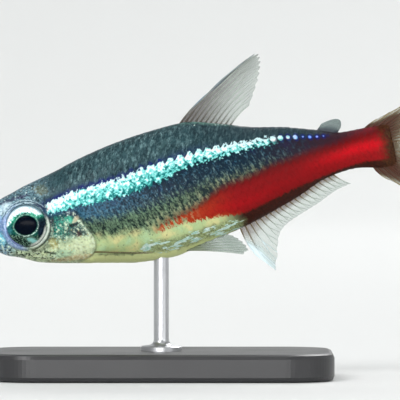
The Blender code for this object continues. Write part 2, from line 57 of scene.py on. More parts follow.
bl_info = {
    "name": "Neon Tetra on a Stand",
    "version": (1, 0, 0),
    "blender": (4, 5, 0),
    "location": "View3D > Sidebar > Neon Tetra",
    "description": "Builds the skin, scales, eyes and fins of a neon tetra over its solid parts",
    "category": "Add Mesh",
}

MM = 0.001
SIDES = ((-1, "left"), (1, "right"))


def columns_of(*rows):
    return np.array(rows).T


# Form of the body, as the solid parts have it
STANDARD_LENGTH = 29.5 * MM
UNIT = STANDARD_LENGTH / MM
PITCH = math.radians(11.6)
TAIL_SWEEP = 0.9 * MM
SWEEP_START = 0.45
NOSE_ROUND = 0.075
HEAD_FULLNESS, TAIL_FULLNESS = 2.35, 2.0
ROD_ALONG = 0.415
ROD_RADIUS, ROD_FOOT = 0.55 * MM, 1.5 * MM
BELLY_HEIGHT = 8.6 * MM

# Share along the body, then heights of back and belly, half width and height of the widest line
STATIONS = columns_of(
    (0.00, 0.0640, -0.0820, 0.0470, -0.0080),
    (0.06, 0.0690, -0.0840, 0.0530, -0.0080),
    (0.12, 0.0860, -0.1085, 0.0600, -0.0090),
    (0.20, 0.1060, -0.1275, 0.0690, -0.0130),
    (0.28, 0.1280, -0.1425, 0.0745, -0.0200),
    (0.36, 0.1445, -0.1575, 0.0770, -0.0230),
    (0.44, 0.1550, -0.1620, 0.0755, -0.0210),
    (0.53, 0.1605, -0.1440, 0.0700, -0.0120),
    (0.62, 0.1400, -0.1265, 0.0600, -0.0010),
    (0.70, 0.1150, -0.1040, 0.0490, 0.0050),
    (0.78, 0.0985, -0.0770, 0.0380, 0.0090),
    (0.85, 0.0775, -0.0485, 0.0290, 0.0110),
    (0.92, 0.0580, -0.0385, 0.0215, 0.0090),
    (1.00, 0.0575, -0.0520, 0.0125, 0.0030),
)

# Head, in shares unless a length is given
GILL_LINE = (
    (0.230, -0.002), (0.241, -0.020), (0.252, -0.048), (0.268, -0.078), (0.262, -0.112),
    (0.214, -0.126),
)
NAPE = 0.226
EYE_CENTRE = (0.108, -0.012)
EYE_RADIUS = 0.0515
EYE_RIM, EYE_DOME, EYE_DEPTH = 0.0520, 0.0150, 0.0330
EYE_TURN = math.radians(8)
PUPIL = (0.02, 0.03, 0.56, 0.47)  # centre and reach, in eye radii
MOUTH_LINE = ((-0.030, -0.004), (0.006, -0.011), (0.026, -0.026), (0.043, -0.046))
NOSTRILS = ((0.040, 0.036, 0.17 * MM), (0.054, 0.040, 0.21 * MM))

# Mesh of the skin
SKIN_INSET = 0.05 * MM
AROUND = 192
NOSE_RINGS, HEAD_RINGS, BODY_RINGS, END_RINGS = 40, 150, 150, 10
HEAD_END = 0.29
END_REACH = 0.034
SOCKET_GAP = 0.03 * MM  # between an eye and the skin round it

# Map for baking: places along the body and where they lie on it, how high the main row of scales
# lies and how much higher the right side does
BAKE_ALONGS, BAKE_PLACES = (0.0, 0.28, 1.034), (0.01, 0.52, 0.99)
BAKE_ROW, BAKE_RIGHT = 0.27, 0.47

# Bright stripe and red band: share along, height of the middle and half height as shares
STRIPE = columns_of(
    (0.120, 0.0200, 0.0080),
    (0.172, 0.0192, 0.0125),
    (0.200, 0.0227, 0.0160),
    (0.250, 0.0295, 0.0198),
    (0.300, 0.0307, 0.0214),
    (0.351, 0.0342, 0.0224),
    (0.403, 0.0424, 0.0230),
    (0.455, 0.0527, 0.0200),
    (0.508, 0.0636, 0.0172),
    (0.560, 0.0700, 0.0160),
    (0.611, 0.0706, 0.0128),
    (0.661, 0.0720, 0.0104),
    (0.711, 0.0716, 0.0086),
    (0.761, 0.0697, 0.0078),
    (0.809, 0.0630, 0.0080),
    (0.880, 0.0560, 0.0080),
)
RED = columns_of(
    (0.390, -0.0930, 0.0030),
    (0.428, -0.0838, 0.0060),
    (0.481, -0.0735, 0.0095),
    (0.521, -0.0680, 0.0150),
    (0.552, -0.0630, 0.0215),
    (0.586, -0.0540, 0.0305),
    (0.627, -0.0515, 0.0380),
    (0.688, -0.0400, 0.0370),
    (0.731, -0.0290, 0.0370),
    (0.772, -0.0210, 0.0335),
    (0.817, -0.0125, 0.0330),
    (0.898, -0.0005, 0.0300),
    (0.959, 0.0060, 0.0320),
    (1.034, 0.0060, 0.0400),
)

# Scales: share along, height of the row that carries the stripe's upper beads, the distance
# between scales of a row and the distance between rows, both in mm
SCALE_ROW = columns_of(
    (0.150, 0.0190, 0.74, 0.74),
    (0.254, 0.0370, 0.75, 0.76),
    (0.359, 0.0585, 0.75, 0.77),
    (0.460, 0.0640, 0.73, 0.74),
    (0.563, 0.0735, 0.68, 0.69),
    (0.664, 0.0795, 0.60, 0.60),
    (0.763, 0.0740, 0.54, 0.54),
    (0.850, 0.0590, 0.50, 0.49),
    (1.034, 0.0420, 0.46, 0.45),
)
SCALE_START, SCALE_END = 0.200, 1.006
SCALE_ROWS = 12
SCALE_LENGTH, SCALE_WIDTH = 1.50, 1.94  # of the distances above
SCALE_HEART = 0.16  # middle of what shows of a scale, of its length
SCALE_SEEDS = {-1: 7, 1: 11}  # of the left and the right side
SCALE_SHIFT = 0.012  # mm that a scale is usually off its place in the row
# Bare skin at belly and back, of the distance between rows, and behind the gill cover in mm
BELLY_BARE, BACK_BARE, GILL_BARE = 0.15, 0.05, 0.10
FLANK_COLUMNS, FLANK_ROWS = 160, 84
CHART_START, CHART_END = 0.14, 1.0 + 0.97 * END_REACH
CHART_HEIGHT = 32.0  # mm of skin that the chart's height of 1 stands for
SIDES_APART = 40.0  # between the right side's patterns and the left side's, in mm
NO_ROW = 9.0  # row of skin that no scale covers, far from the main row 0


# Form of the body


def stacked(*parts):
    """Arrays and numbers side by side along a new last axis."""
    return np.stack(np.broadcast_arrays(*parts), axis=-1)


def side_view(points):
    """Shares along and up of points of the fish's own frame."""
    return points[..., 0] / STANDARD_LENGTH, points[..., 2] / STANDARD_LENGTH


def smooth_step(low, high, value):
    share = np.clip((value - low) / (high - low), 0, 1)
    return share * share * (3 - 2 * share)


def bell(value, centre, width):
    return np.exp(-(((value - centre) / width) ** 2))


def spline(xs, ys, x):
    """Monotone cubic through the points (xs, ys), so that it never overshoots them."""
    xs, ys, x = np.asarray(xs), np.asarray(ys), np.asarray(x, float)
    step = np.diff(xs)
    slope = np.diff(ys) / step
    tangent = np.empty_like(ys)
    tangent[0], tangent[-1] = slope[0], slope[-1]
    for i in range(1, len(xs) - 1):
        before, after = slope[i - 1], slope[i]
        if before * after <= 0:
            tangent[i] = 0.0
        else:
            near, far = 2 * step[i] + step[i - 1], step[i] + 2 * step[i - 1]
            tangent[i] = (near + far) / (near / before + far / after)
    i = np.clip(np.searchsorted(xs, x) - 1, 0, len(xs) - 2)
    t = (x - xs[i]) / step[i]
    return (
        (1 + 2 * t) * (1 - t) ** 2 * ys[i]
        + t * (1 - t) ** 2 * step[i] * tangent[i]
        + t * t * (3 - 2 * t) * ys[i + 1]
        + t * t * (t - 1) * step[i] * tangent[i + 1]
    )


def table_at(table, along):
    """Every column of a table at shares along the body, its first column."""
    place = np.clip(along, table[0][0], table[0][-1])
    return [spline(table[0], column, place) for column in table[1:]]


def station(along):
    """Back, belly, half width and widest height at shares of the length, in metres."""
    inner = np.clip(along, 0.0, 1.0)
    nose = np.sqrt(np.maximum(0.0, 1 - np.maximum(0.0, 1 - inner / NOSE_ROUND) ** 2))
    past = np.clip((np.asarray(along) - 1.0) / END_REACH, 0, 1)
    back, belly, half, widest = (
        column * STANDARD_LENGTH * nose for column in table_at(STATIONS, inner)
    )
    return back, belly, half * np.sqrt(np.maximum(1 - past**2, 0.0)), widest


def sweep(x):
    """How far the body's middle has swung sideways at x."""
    past = np.maximum(0.0, np.asarray(x) / STANDARD_LENGTH - SWEEP_START) / (1 - SWEEP_START)
    return TAIL_SWEEP * past * past


def fullness(along):
    return HEAD_FULLNESS + (TAIL_FULLNESS - HEAD_FULLNESS) * np.minimum(1.0, along / 0.4)


def body_points(along, angle, grow):
    """Points of the body's surface, angle 0 on its right side and a quarter turn on its back."""
    back, belly, half, widest = station(along)
    cosine, sine = np.cos(angle), np.sin(angle)
    reach = np.where(sine > 0, back - widest, widest - belly)
    power = 2 / fullness(along)
    x = along * STANDARD_LENGTH
    y = np.copysign(np.abs(cosine) ** power, cosine)
    z = np.copysign(np.abs(sine) ** power, sine)
    least = 0.01 * MM
    y = np.maximum(half + grow, least) * y + sweep(x)
    return stacked(x, y, widest + np.maximum(reach + grow, least) * z)


def pose_origin():
    """Where the snout goes, so that the rod meets the belly at the stand's middle."""
    belly, rod = float(station(ROD_ALONG)[1]), ROD_ALONG * STANDARD_LENGTH
    cosine, sine = math.cos(PITCH), math.sin(PITCH)
    return np.array(
        (belly * sine - rod * cosine, 0.0, BELLY_HEIGHT - rod * sine - belly * cosine)
    )


def tipped(points, turn):
    x, y, z = np.moveaxis(np.asarray(points, float), -1, 0)
    cosine, sine = math.cos(turn), math.sin(turn)
    return stacked(x * cosine - z * sine, y, x * sine + z * cosine)


def posed(points):
    """Points of the fish's own frame, put where the stand holds the fish."""
    return tipped(points, PITCH) + pose_origin()


def unposed(points):
    """The reverse of posed."""
    return tipped(points - pose_origin(), -PITCH)


def line_distance(along, height, line):
    """Distance of side-view points to a polyline, the side they lie on, and how far along it
    their nearest point is, all in shares."""
    best = np.full(np.shape(along), np.inf)
    side, run, done = np.zeros_like(best), np.zeros_like(best), 0.0
    for (ax, az), (bx, bz) in zip(line, line[1:]):
        dx, dz = bx - ax, bz - az
        length = math.hypot(dx, dz)
        share = np.clip(((along - ax) * dx + (height - az) * dz) / length**2, 0, 1)
        ox, oz = along - (ax + share * dx), height - (az + share * dz)
        distance = np.hypot(ox, oz)
        nearer = distance < best
        best = np.where(nearer, distance, best)
        side = np.where(nearer, np.sign(dx * oz - dz * ox), side)
        run = np.where(nearer, done + share * length, run)
        done += length
    return best, side, run


def gill_edge():
    """Rear edge of the gill cover in side view, from its top corner to its foot."""
    line = GILL_LINE
    for _ in range(2):
        cut = [line[0]]
        for (ax, az), (bx, bz) in zip(line, line[1:]):
            cut.append((0.75 * ax + 0.25 * bx, 0.75 * az + 0.25 * bz))
            cut.append((0.25 * ax + 0.75 * bx, 0.25 * az + 0.75 * bz))
        line = cut + [line[-1]]
    return line


def scaled_distance(along, height):
    """Signed mm behind the line where the scales begin."""
    edge = gill_edge()
    line = [(NAPE - 0.03, 0.3), (NAPE - 0.012, 0.06), *edge, (edge[-1][0] - 0.012, -0.3)]
    distance, side, _ = line_distance(along, height, line)
    return distance * side * UNIT


def relief(along, height):
    """How far the skin of the head stands proud of the plain body in side view, in mm."""
    distance, side, down = line_distance(along, height, gill_edge())
    gill = distance * side * UNIT
    from_rim = (np.hypot(along - EYE_CENTRE[0], height - EYE_CENTRE[1]) - EYE_RADIUS) * UNIT
    ends = smooth_step(0.0, 0.02, down) * smooth_step(0.0, 0.012, 0.145 - down)
    cover = smooth_step(-2.2, -0.1, gill) * (gill < 0) * smooth_step(0.1, 0.9, from_rim)
    rise = (0.07 * cover - 0.09 * bell(gill, 0.07, 0.07)) * ends

    fore = np.hypot((along - 0.178) / 0.040, (height + 0.060) / 0.062)
    rise -= 0.05 * bell(fore, 1.0, 0.10) * (along > 0.165)
    ridge = line_distance(along, height, ((0.196, -0.022), (0.222, -0.030), (0.246, -0.052)))[0]
    rise += 0.045 * bell(ridge * UNIT, 0.0, 0.16)
    rise += 0.06 * bell(from_rim, 0.10, 0.12) - 0.05 * bell(from_rim, 0.38, 0.09)
    rise += 0.03 * bell(from_rim, 0.60, 0.12)

    near, _, run = line_distance(along, height, MOUTH_LINE)
    near, within = near * UNIT, smooth_step(0.085, 0.070, run)
    rise += (0.11 * bell(near, 0.15, 0.12) - 0.26 * bell(near, 0.0, 0.055)) * within
    jaw = line_distance(along, height, ((0.040, -0.040), (0.062, -0.072)))[0] * UNIT
    rise += 0.05 * smooth_step(0.34, 0.20, jaw) * smooth_step(0.05, 0.3, from_rim)

    for place, level, radius in NOSTRILS:
        ring = np.hypot(along - place, height - level) * STANDARD_LENGTH / radius
        rise += 0.035 * bell(ring, 1.25, 0.3) - 0.20 * np.exp(-((ring / 0.75) ** 4))
    return rise


# Meshes and attributes


def linked(name, data):
    """A new object in the scene around its data."""
    made = bpy.data.objects.new(name, data)
    bpy.context.scene.collection.objects.link(made)
    return made


def new_object(name, vertices, faces, edges=()):
    mesh = bpy.data.meshes.new(name)
    mesh.from_pydata(np.asarray(vertices).tolist(), edges, faces)
    mesh.update()
    mesh.shade_smooth()
    return linked(name, mesh)


def bake_modifiers(obj):
    """Replaces the object's mesh by what its modifiers make of it, and removes them."""
    bpy.context.view_layer.update()
    graph = bpy.context.evaluated_depsgraph_get()
    mesh = bpy.data.meshes.new_from_object(obj.evaluated_get(graph))
    obj.modifiers.clear()
    obj.data = mesh


def face_outward(obj):
    bm = bmesh.new()
    bm.from_mesh(obj.data)
    bmesh.ops.recalc_face_normals(bm, faces=bm.faces)
    bm.to_mesh(obj.data)
    bm.free()


def grid_faces(rows, columns, closed=False, start=0):
    """Quads between neighbouring points of a grid that is stored row by row."""
    faces = []
    for i in range(rows - 1):
        for j in range(columns if closed else columns - 1):
            k = (j + 1) % columns
            a, b = start + i * columns, start + (i + 1) * columns
            faces.append((a + j, a + k, b + k, b + j))
    return faces


def rim_of_grid(rows, columns):
    """The points round the edge of a grid, in order."""
    rim = list(range(columns))
    rim += [i * columns + columns - 1 for i in range(1, rows)]
    rim += [(rows - 1) * columns + j for j in range(columns - 2, -1, -1)]
    return rim + [i * columns for i in range(rows - 2, 0, -1)]


def closed_sheet(name, front, back):
    """A solid between two grids of points that face each other."""
    rows, columns = front.shape[:2]
    shift = rows * columns
    faces = grid_faces(rows, columns) + grid_faces(rows, columns, start=shift)
    rim = rim_of_grid(rows, columns)
    faces += [(a, b, b + shift, a + shift) for a, b in zip(rim, rim[1:] + rim[:1])]
    made = new_object(name, np.concatenate((front.reshape(-1, 3), back.reshape(-1, 3))), faces)
    face_outward(made)
    return made


def vertex_points(mesh):
    points = np.empty((len(mesh.vertices), 3))
    mesh.vertices.foreach_get("co", points.ravel())
    return points


def set_vectors(mesh, name, *values):
    """Stores a vector for each vertex, given as one array or as its three parts."""
    values = values[0] if len(values) == 1 else stacked(*values)
    attribute = mesh.attributes.get(name) or mesh.attributes.new(name, "FLOAT_VECTOR", "POINT")
    attribute.data.foreach_set("vector", np.asarray(values, np.float32).ravel())


def get_vectors(mesh, name):
    values = np.empty((len(mesh.vertices), 3))
    mesh.attributes[name].data.foreach_get("vector", values.ravel())
    return values


def set_corner_map(mesh, name, values):
    """A UV map from one value for each corner of the mesh's faces."""
    layer = mesh.uv_layers.get(name) or mesh.uv_layers.new(name=name)
    layer.data.foreach_set("uv", np.asarray(values, np.float32).ravel())


def corner_vertices(mesh):
    corners = np.empty(len(mesh.loops), int)
    mesh.loops.foreach_get("vertex_index", corners)
    return corners


def set_marking_fields(mesh, points, beads):
    """Stores what the markings are painted from, for points of the fish's own frame. The stripe
    is measured from the points beads instead.

    body: share along, rise from -1 at the belly to 1 at the back, and how far down from the
    stripe to the belly. stripe and red: mm above the middle, half height in mm, and strength.
    """
    along, height = side_view(points)
    back, belly, _, _ = (value / STANDARD_LENGTH for value in station(np.clip(along, 0.02, 1)))
    rise = (height - (back + belly) / 2) / ((back - belly) / 2)
    stripe, stripe_half = table_at(STRIPE, along)
    foot = stripe - stripe_half
    set_vectors(mesh, "body", along, rise, (foot - height) / np.maximum(foot - belly, 0.01))
    strength = smooth_step(0.395, 0.44, along)
    set_band(mesh, "red", RED, along, height, strength)
    along, height = side_view(beads)
    strength = smooth_step(0.150, 0.168, along) * smooth_step(0.905, 0.885, along)
    set_band(mesh, "stripe", STRIPE, along, height, strength)


def set_band(mesh, name, table, along, height, strength):
    middle, half = (value * UNIT for value in table_at(table, along))
    set_vectors(mesh, name, height * UNIT - middle, half, strength)


# Node trees


class Wire:
    """A value in a node tree. Arithmetic on it adds nodes to the tree."""

    def __init__(self, tree, socket):
        self.tree = tree
        self.socket = socket

    def math(self, operation, *others, clamp=False):
        node = self.tree.nodes.new("ShaderNodeMath")
        node.operation = operation
        node.use_clamp = clamp
        for i, value in enumerate((self, *others)):
            feed(self.tree, node.inputs[i], value)
        return Wire(self.tree, node.outputs[0])

    def __add__(self, other):
        return self.math("ADD", other)

    def __sub__(self, other):
        return self.math("SUBTRACT", other)

    def __rsub__(self, other):
        return self.math("MULTIPLY_ADD", -1.0, other)

    def __mul__(self, other):
        return self.math("MULTIPLY", other)

    def __truediv__(self, other):
        return self.math("DIVIDE", other)

    def size(self):
        return self.math("ABSOLUTE")

    def clamp(self):
        return self.math("ADD", 0.0, clamp=True)

    def hypot(self, other):
        return (self * self + other * other).math("SQRT")

    def ramp(self, low, high, to_low=0.0, to_high=1.0):
        """Smooth step from to_low at low to to_high at high."""
        node = self.tree.nodes.new("ShaderNodeMapRange")
        node.interpolation_type = "SMOOTHSTEP"
        labels = ("Value", "From Min", "From Max", "To Min", "To Max")
        for label, value in zip(labels, (self, low, high, to_low, to_high)):
            feed(self.tree, node.inputs[label], value)
        return Wire(self.tree, node.outputs["Result"])

    def within(self, start, full, wane, end):
        """Rises from start to full and falls again from wane to end."""
        return self.ramp(start, full) * self.ramp(end, wane)

    def bump(self, centre, width):
        """A bell that is 1 where the value is centre and fades out over width."""
        off = (self - centre) / width
        return (off * off * -1.0).math("EXPONENT")


def feed(tree, socket, value):
    if isinstance(value, Wire):
        tree.links.new(value.socket, socket)
    elif isinstance(value, (tuple, list)):
        socket.default_value = (*value, 1.0)[: len(socket.default_value)]
    else:
        socket.default_value = value


class Nodes:
    """Adds nodes to one tree: those that patterns are made of, and those of geometry."""

    def __init__(self, tree):
        self.tree = tree

    def node(self, kind, inputs, output=0, **settings):
        """A node with its settings and inputs, by name or number, and one of its outputs."""
        made = self.tree.nodes.new(kind)
        for label, value in settings.items():
            setattr(made, label, value)
        for label, value in inputs.items():
            feed(self.tree, made.inputs[label], value)
        return Wire(self.tree, made.outputs[output])

    def attribute(self, name):
        return self.node("ShaderNodeAttribute", {}, "Vector", attribute_name=name)

    def object_place(self):
        return self.node("ShaderNodeTexCoord", {}, "Object")

    def parts(self, vector):
        node = self.node("ShaderNodeSeparateXYZ", {0: vector}).socket.node
        return [Wire(self.tree, node.outputs[i]) for i in range(3)]

    def vector(self, x, y, z):
        return self.node("ShaderNodeCombineXYZ", {0: x, 1: y, 2: z})

    def scaled(self, vector, scale, stretch):
        sizes = [scale * share for share in stretch]
        return self.node("ShaderNodeMapping", {"Vector": vector, "Scale": sizes})

    def noise(self, vector, scale, detail=2.0, roughness=0.5, stretch=(1.0, 1.0, 1.0)):
        """Noise about 0, from about -1 to 1, with scale patches to each unit of vector."""
        place = self.scaled(vector, scale, stretch)
        inputs = {"Vector": place, "Scale": 1.0, "Detail": detail, "Roughness": roughness}
        return (self.node("ShaderNodeTexNoise", inputs) - 0.5) * 3.0

    def dots(self, vector, scale, radius, share):
        """Scattered round dots, drawn in only a share of the places for them."""
        place = self.scaled(vector, scale, (1.0, 1.0, 1.0))
        node = self.node("ShaderNodeTexVoronoi", {"Vector": place, "Scale": 1.0}).socket.node
        chance = self.node("ShaderNodeSeparateColor", {0: Wire(self.tree, node.outputs["Color"])})
        near = Wire(self.tree, node.outputs["Distance"]).ramp(radius, radius * 0.5)
        return near * chance.ramp(share + 0.06, share - 0.06)

    def mix(self, share, low, high):
        """Colours low and high mixed by share."""
        inputs = {0: share, 6: low, 7: high}
        return self.node("ShaderNodeMix", inputs, 2, data_type="RGBA", clamp_factor=True)

    def over(self, colour, *layers):
        """A colour under layers of a share and a colour, the last one on top."""
        for share, top in layers:
            colour = self.mix(share, colour, top)
        return colour

    def blend(self, share, low, high):
        """Numbers low and high mixed by share."""
        return self.node("ShaderNodeMix", {0: share, 2: low, 3: high})

    def group(self, tree, **inputs):
        """A group node's outputs by name. Its inputs are named with _ for a space."""
        values = {label.replace("_", " "): value for label, value in inputs.items()}
        node = self.node("ShaderNodeGroup", values, node_tree=tree).socket.node
        return {socket.name: Wire(self.tree, socket) for socket in node.outputs}

    def named(self, label, kind="FLOAT_VECTOR"):
        node = "GeometryNodeInputNamedAttribute"
        return self.node(node, {"Name": label}, "Attribute", data_type=kind)

    def store(self, geometry, label, value, kind="FLOAT_VECTOR", domain="POINT"):
        inputs = {"Geometry": geometry, "Name": label, "Value": value}
        node = "GeometryNodeStoreNamedAttribute"
        return self.node(node, inputs, data_type=kind, domain=domain)

    def vectors(self, operation, first, second):
        return self.node("ShaderNodeVectorMath", {0: first, 1: second}, operation=operation)

    def real_in(self, material, geometry):
        """Instances made real, in one material."""
        real = self.node("GeometryNodeRealizeInstances", {"Geometry": geometry})
        return self.node("GeometryNodeSetMaterial", {"Geometry": real, "Material": material})


def ink(red, green, blue):
    """A colour given as a screen shows it, from 0 to 255, in the linear values that nodes use."""
    return tuple(
        value / 12.92 if value <= 0.04045 else ((value + 0.055) / 1.055) ** 2.4
        for value in (red / 255, green / 255, blue / 255)
    )


BLACK = (0.0, 0.0, 0.0)


def new_group(kind, name, inputs, outputs):
    """An empty node group: its nodes, its input wires and its output node. Its sockets are given
    as the labels of each kind."""
    group = bpy.data.node_groups.new(name, f"{kind}NodeTree")
    for way, sockets in (("INPUT", inputs), ("OUTPUT", outputs)):
        for value, labels in sockets.items():
            for label in labels.split(", "):
                group.interface.new_socket(
                    name=label, in_out=way, socket_type=f"NodeSocket{value}"
                )
    entry = group.nodes.new("NodeGroupInput")
    wires = {socket.name: Wire(group, socket) for socket in entry.outputs if socket.name}
    return Nodes(group), wires, group.nodes.new("NodeGroupOutput")


def finish_group(leave, **outputs):
    for label, value in outputs.items():
        feed(leave.id_data, leave.inputs[label], value)
    return leave.id_data


def shared(name, build):
    """The node group of a name, built when it is first asked for."""
    return bpy.data.node_groups.get(name) or build(name)


def new_material(name, **constants):
    """A material and its nodes. Constants go on the shader's own sockets."""
    made = bpy.data.materials.new(name)
    made.use_nodes = True
    wire_shader(made, **constants)
    return made, Nodes(made.node_tree)


def wire_shader(made, bump=None, **inputs):
    """Feeds the sockets of a material's shader. bump is a height, a strength and a distance."""
    tree = made.node_tree
    sockets = tree.nodes["Principled BSDF"].inputs
    for label, value in inputs.items():
        feed(tree, sockets[label.replace("_", " ")], value)
    if bump:
        inputs = dict(zip(("Height", "Strength", "Distance"), bump))
        feed(tree, sockets["Normal"], Nodes(tree).node("ShaderNodeBump", inputs))
    return made


# Markings that skin and scales share

INKS = {
    "back_dark": ink(16, 34, 40),
    "back_light": ink(56, 88, 94),
    "back_rear": ink(32, 46, 54),
    "fleck": ink(112, 142, 144),
    "navy": ink(10, 32, 46),
    "navy_light": ink(50, 98, 124),
    "indigo": ink(16, 26, 92),
    "flank_dark": ink(22, 36, 34),
    "flank_light": ink(104, 132, 104),
    "straw": ink(142, 146, 114),
    "belly_warm": ink(206, 204, 146),
    "belly_mint": ink(174, 206, 162),
    # keel: the belly's pale keel, made paler still as painted light where the underside faces away
    # from the lamps.
    "keel": ink(214, 222, 158),
    "olive": ink(84, 92, 62),
    "silver_mint": ink(140, 190, 172),
    "silver_white": ink(226, 240, 234),
    "rear_dark": ink(30, 14, 8),
    "rear_brown": ink(74, 26, 14),
    "plum": ink(52, 26, 34),
    "plum_red": ink(118, 34, 40),
    "red_front": ink(168, 60, 26),
    "red_deep": ink(74, 4, 5),
    "red_core": ink(186, 2, 18),
    "root_dark": ink(40, 18, 8),
    "root_light": ink(76, 46, 22),
    "stripe_teal": ink(10, 104, 104),
    # The stripe's white and rose are partly its own pale colour and partly a painted highlight.
    "stripe_white": ink(192, 224, 228),
    "stripe_rose": ink(230, 206, 204),
    "dot_blue": ink(96, 128, 240),
}
PANEL_INKS = ("back", "stripe", "red", "belly")


def paint_back(p, m, inks):
    """Dark slate over the back, with soft pale strokes at the ends of the scales."""
    tone = m.streak * 0.45 + m.fine * 0.50 + m.broad * 0.16 + 0.42
    flecks = m.mark * (m.fine * 0.7 + m.streak * 0.5 + m.chance * 0.25 + 0.12)
    sparks = p.dots(m.chart, 4.0, 0.30, 0.30) * m.rise.ramp(0.90, 0.97)
    pale_root = m.rise.ramp(0.93, 0.985) * m.along.bump(0.585, 0.055)
    return p.over(
        p.mix(tone, inks.back_dark, inks.back_light),
        (m.broad.ramp(0.2, 1.0) * 0.5, inks.back),
        (flecks, inks.fleck),
        (m.along.ramp(0.48, 0.72) * (m.fine * 0.3 + 0.6), inks.back_rear),
        (sparks * m.along.bump(0.56, 0.12), inks.silver_white),
        (pale_root * (m.fine * 0.8 + 0.3), inks.silver_mint),
    )


def paint_belly(p, m, inks):
    """Pale green with warm and mint patches, a brighter keel and a fine dark line along it. The
    keel is paler partly in its own colour and partly as painted light on the underside.
    """
    pepper = p.dots(m.chart, 5.0, 0.34, 0.22) * m.under.ramp(0.86, 0.62)
    line = (m.rise + m.patches * 0.02).bump(-0.83, 0.020) * (m.streak * 0.9 + 0.6)
    return p.over(
        inks.belly,
        ((m.broad * 1.6 + m.patches * 0.6).ramp(-0.1, 0.9), inks.belly_warm),
        ((m.broad * -1.4 + m.fine * 0.3).ramp(0.0, 1.0), inks.belly_mint),
        (pepper * 0.7, inks.flank_dark),
        ((m.fine * 0.7 + m.streak * 0.6).ramp(0.1, 0.9) * 0.5, inks.flank_light),
        ((m.rise + m.patches * 0.04).ramp(-0.76, -0.90), inks.keel),
        (line * m.along.within(0.25, 0.28, 0.38, 0.44) * 0.8, inks.flank_dark),
    )


def paint_flank(p, m, inks):
    """Navy under the stripe, speckled green below it, then the pale belly and its keel."""
    depth = m.under + m.streak * 0.07 + m.fine * 0.05 + m.broad * 0.03
    tone = m.fine * 0.9 + m.clump * 0.5 + m.streak * 0.5 + m.along.ramp(0.26, 0.50) * -0.6 + 0.5
    flecks = m.mark * (m.fine * 1.2 + m.streak * 0.7 + m.chance * 0.3 + 0.15)
    navy = p.over(
        p.mix(tone, inks.navy, inks.navy_light),
        (m.broad.ramp(0.2, 0.9) * 0.4, inks.indigo),
        (flecks * depth.ramp(0.02, 0.30) * 0.8, inks.fleck),
    )
    tone = m.streak * 0.8 + m.fine * 0.9 + m.along.ramp(0.38, 0.60) * -0.25 + 0.36
    straw = (m.mark * 1.2 + 0.25) * (m.streak + m.fine * 0.6 + 0.35).clamp()
    near_red = (m.off_red - m.red_half).bump(0.25, 0.65) * m.along.within(0.34, 0.42, 0.56, 0.78)
    flank = p.over(
        p.mix(tone, inks.flank_dark, inks.flank_light),
        (m.along.ramp(0.42, 0.62) * 0.35, inks.navy),
        (straw * near_red, inks.straw),
    )
    flank = p.mix(depth.ramp(0.44, 0.66), flank, paint_belly(p, m, inks))
    brown = p.mix(m.fine * 0.4 + m.streak * 0.2 + 0.35, inks.rear_dark, inks.rear_brown)
    plum = p.mix(m.streak * 0.3 + m.fine * 0.3 + 0.4, inks.plum, inks.navy)
    lower = p.over(
        navy,
        (depth.ramp(0.16, 0.36), flank),
        (m.along.ramp(0.565, 0.64) * depth.ramp(0.42, 0.62), brown),
        (m.along.ramp(0.64, 0.88) * depth.ramp(0.60, 0.30), plum),
    )
    return lower, depth


def paint_silver(p, m, inks, skin):
    """A broken pale band along the lower flank."""
    level = (m.along - 0.384) * -0.56 - 0.76
    band = m.rise.bump(level, 0.10) * m.along.within(0.35, 0.41, 0.60, 0.66)
    spread = (band * (m.broad * 0.6 + m.patches * 0.5 + 0.9)).ramp(0.1, 0.6)
    long = p.noise(m.chart, 1.9, 2.0, 0.6, (0.45, 1.6, 1.0))
    blobs = (band * (long * 3.2 + 0.42) + m.fine * 0.10).ramp(0.38, 0.62)
    tone = m.fine * 0.7 + m.patches * 0.6 + 0.5
    skin = p.over(
        skin,
        (spread * 0.8, p.mix(m.fine + 0.35, inks.olive, inks.belly)),
        (blobs, p.mix(tone, inks.silver_mint, inks.silver_white)),
    )
    return skin, blobs


def paint_red(p, m, inks, skin):
    """Separate strokes of orange that close up to a crimson band towards the tail."""
    upper = m.off_red.ramp(-0.1, 0.1)
    inside = m.red_half + p.blend(upper, 0.12, 0.52) - m.off_red.size()
    inside = inside + (m.streak * 0.20 + m.fine * 0.22) * (m.along.ramp(0.66, 0.44) + 0.45)
    strokes = (m.streak * 1.1 + m.fine * 0.4 + m.patches * 0.35 + 0.58).ramp(0.25, 0.62)
    mask = inside.ramp(0.0, p.blend(upper, 0.22, 0.72)) * m.red_on
    mask = mask * p.blend(m.along.ramp(0.54, 0.46), 1.0, strokes)
    mask = mask * (m.along + m.fine * 0.010 + m.patches * 0.008).ramp(1.026, 0.986)
    across = m.off_red / m.red_half
    low = (m.off_red + m.red_half * 0.35).bump(0.0, 0.36) * m.along.ramp(0.95, 0.60)
    high = (m.off_red - m.red_half * 0.12).bump(0.0, 0.36) * m.along.ramp(0.76, 0.94)
    red = p.over(
        p.mix(m.along.ramp(0.46, 0.64), inks.red_front, inks.red),
        ((low * 0.35 + high) * m.along.ramp(0.50, 0.62), inks.red_core),
        (across.ramp(0.35, 1.1) * 0.75, inks.red_deep),
        (across.ramp(-0.65, -1.0) * m.along.ramp(0.66, 0.56) * 0.7, inks.red_front),
        (m.fine * 0.4 + m.streak * 0.3 + 0.05, inks.red_deep),
        (m.along.bump(0.76, 0.13) * 0.35, inks.red_deep),
    )
    return p.mix(mask, skin, red), mask.clamp()


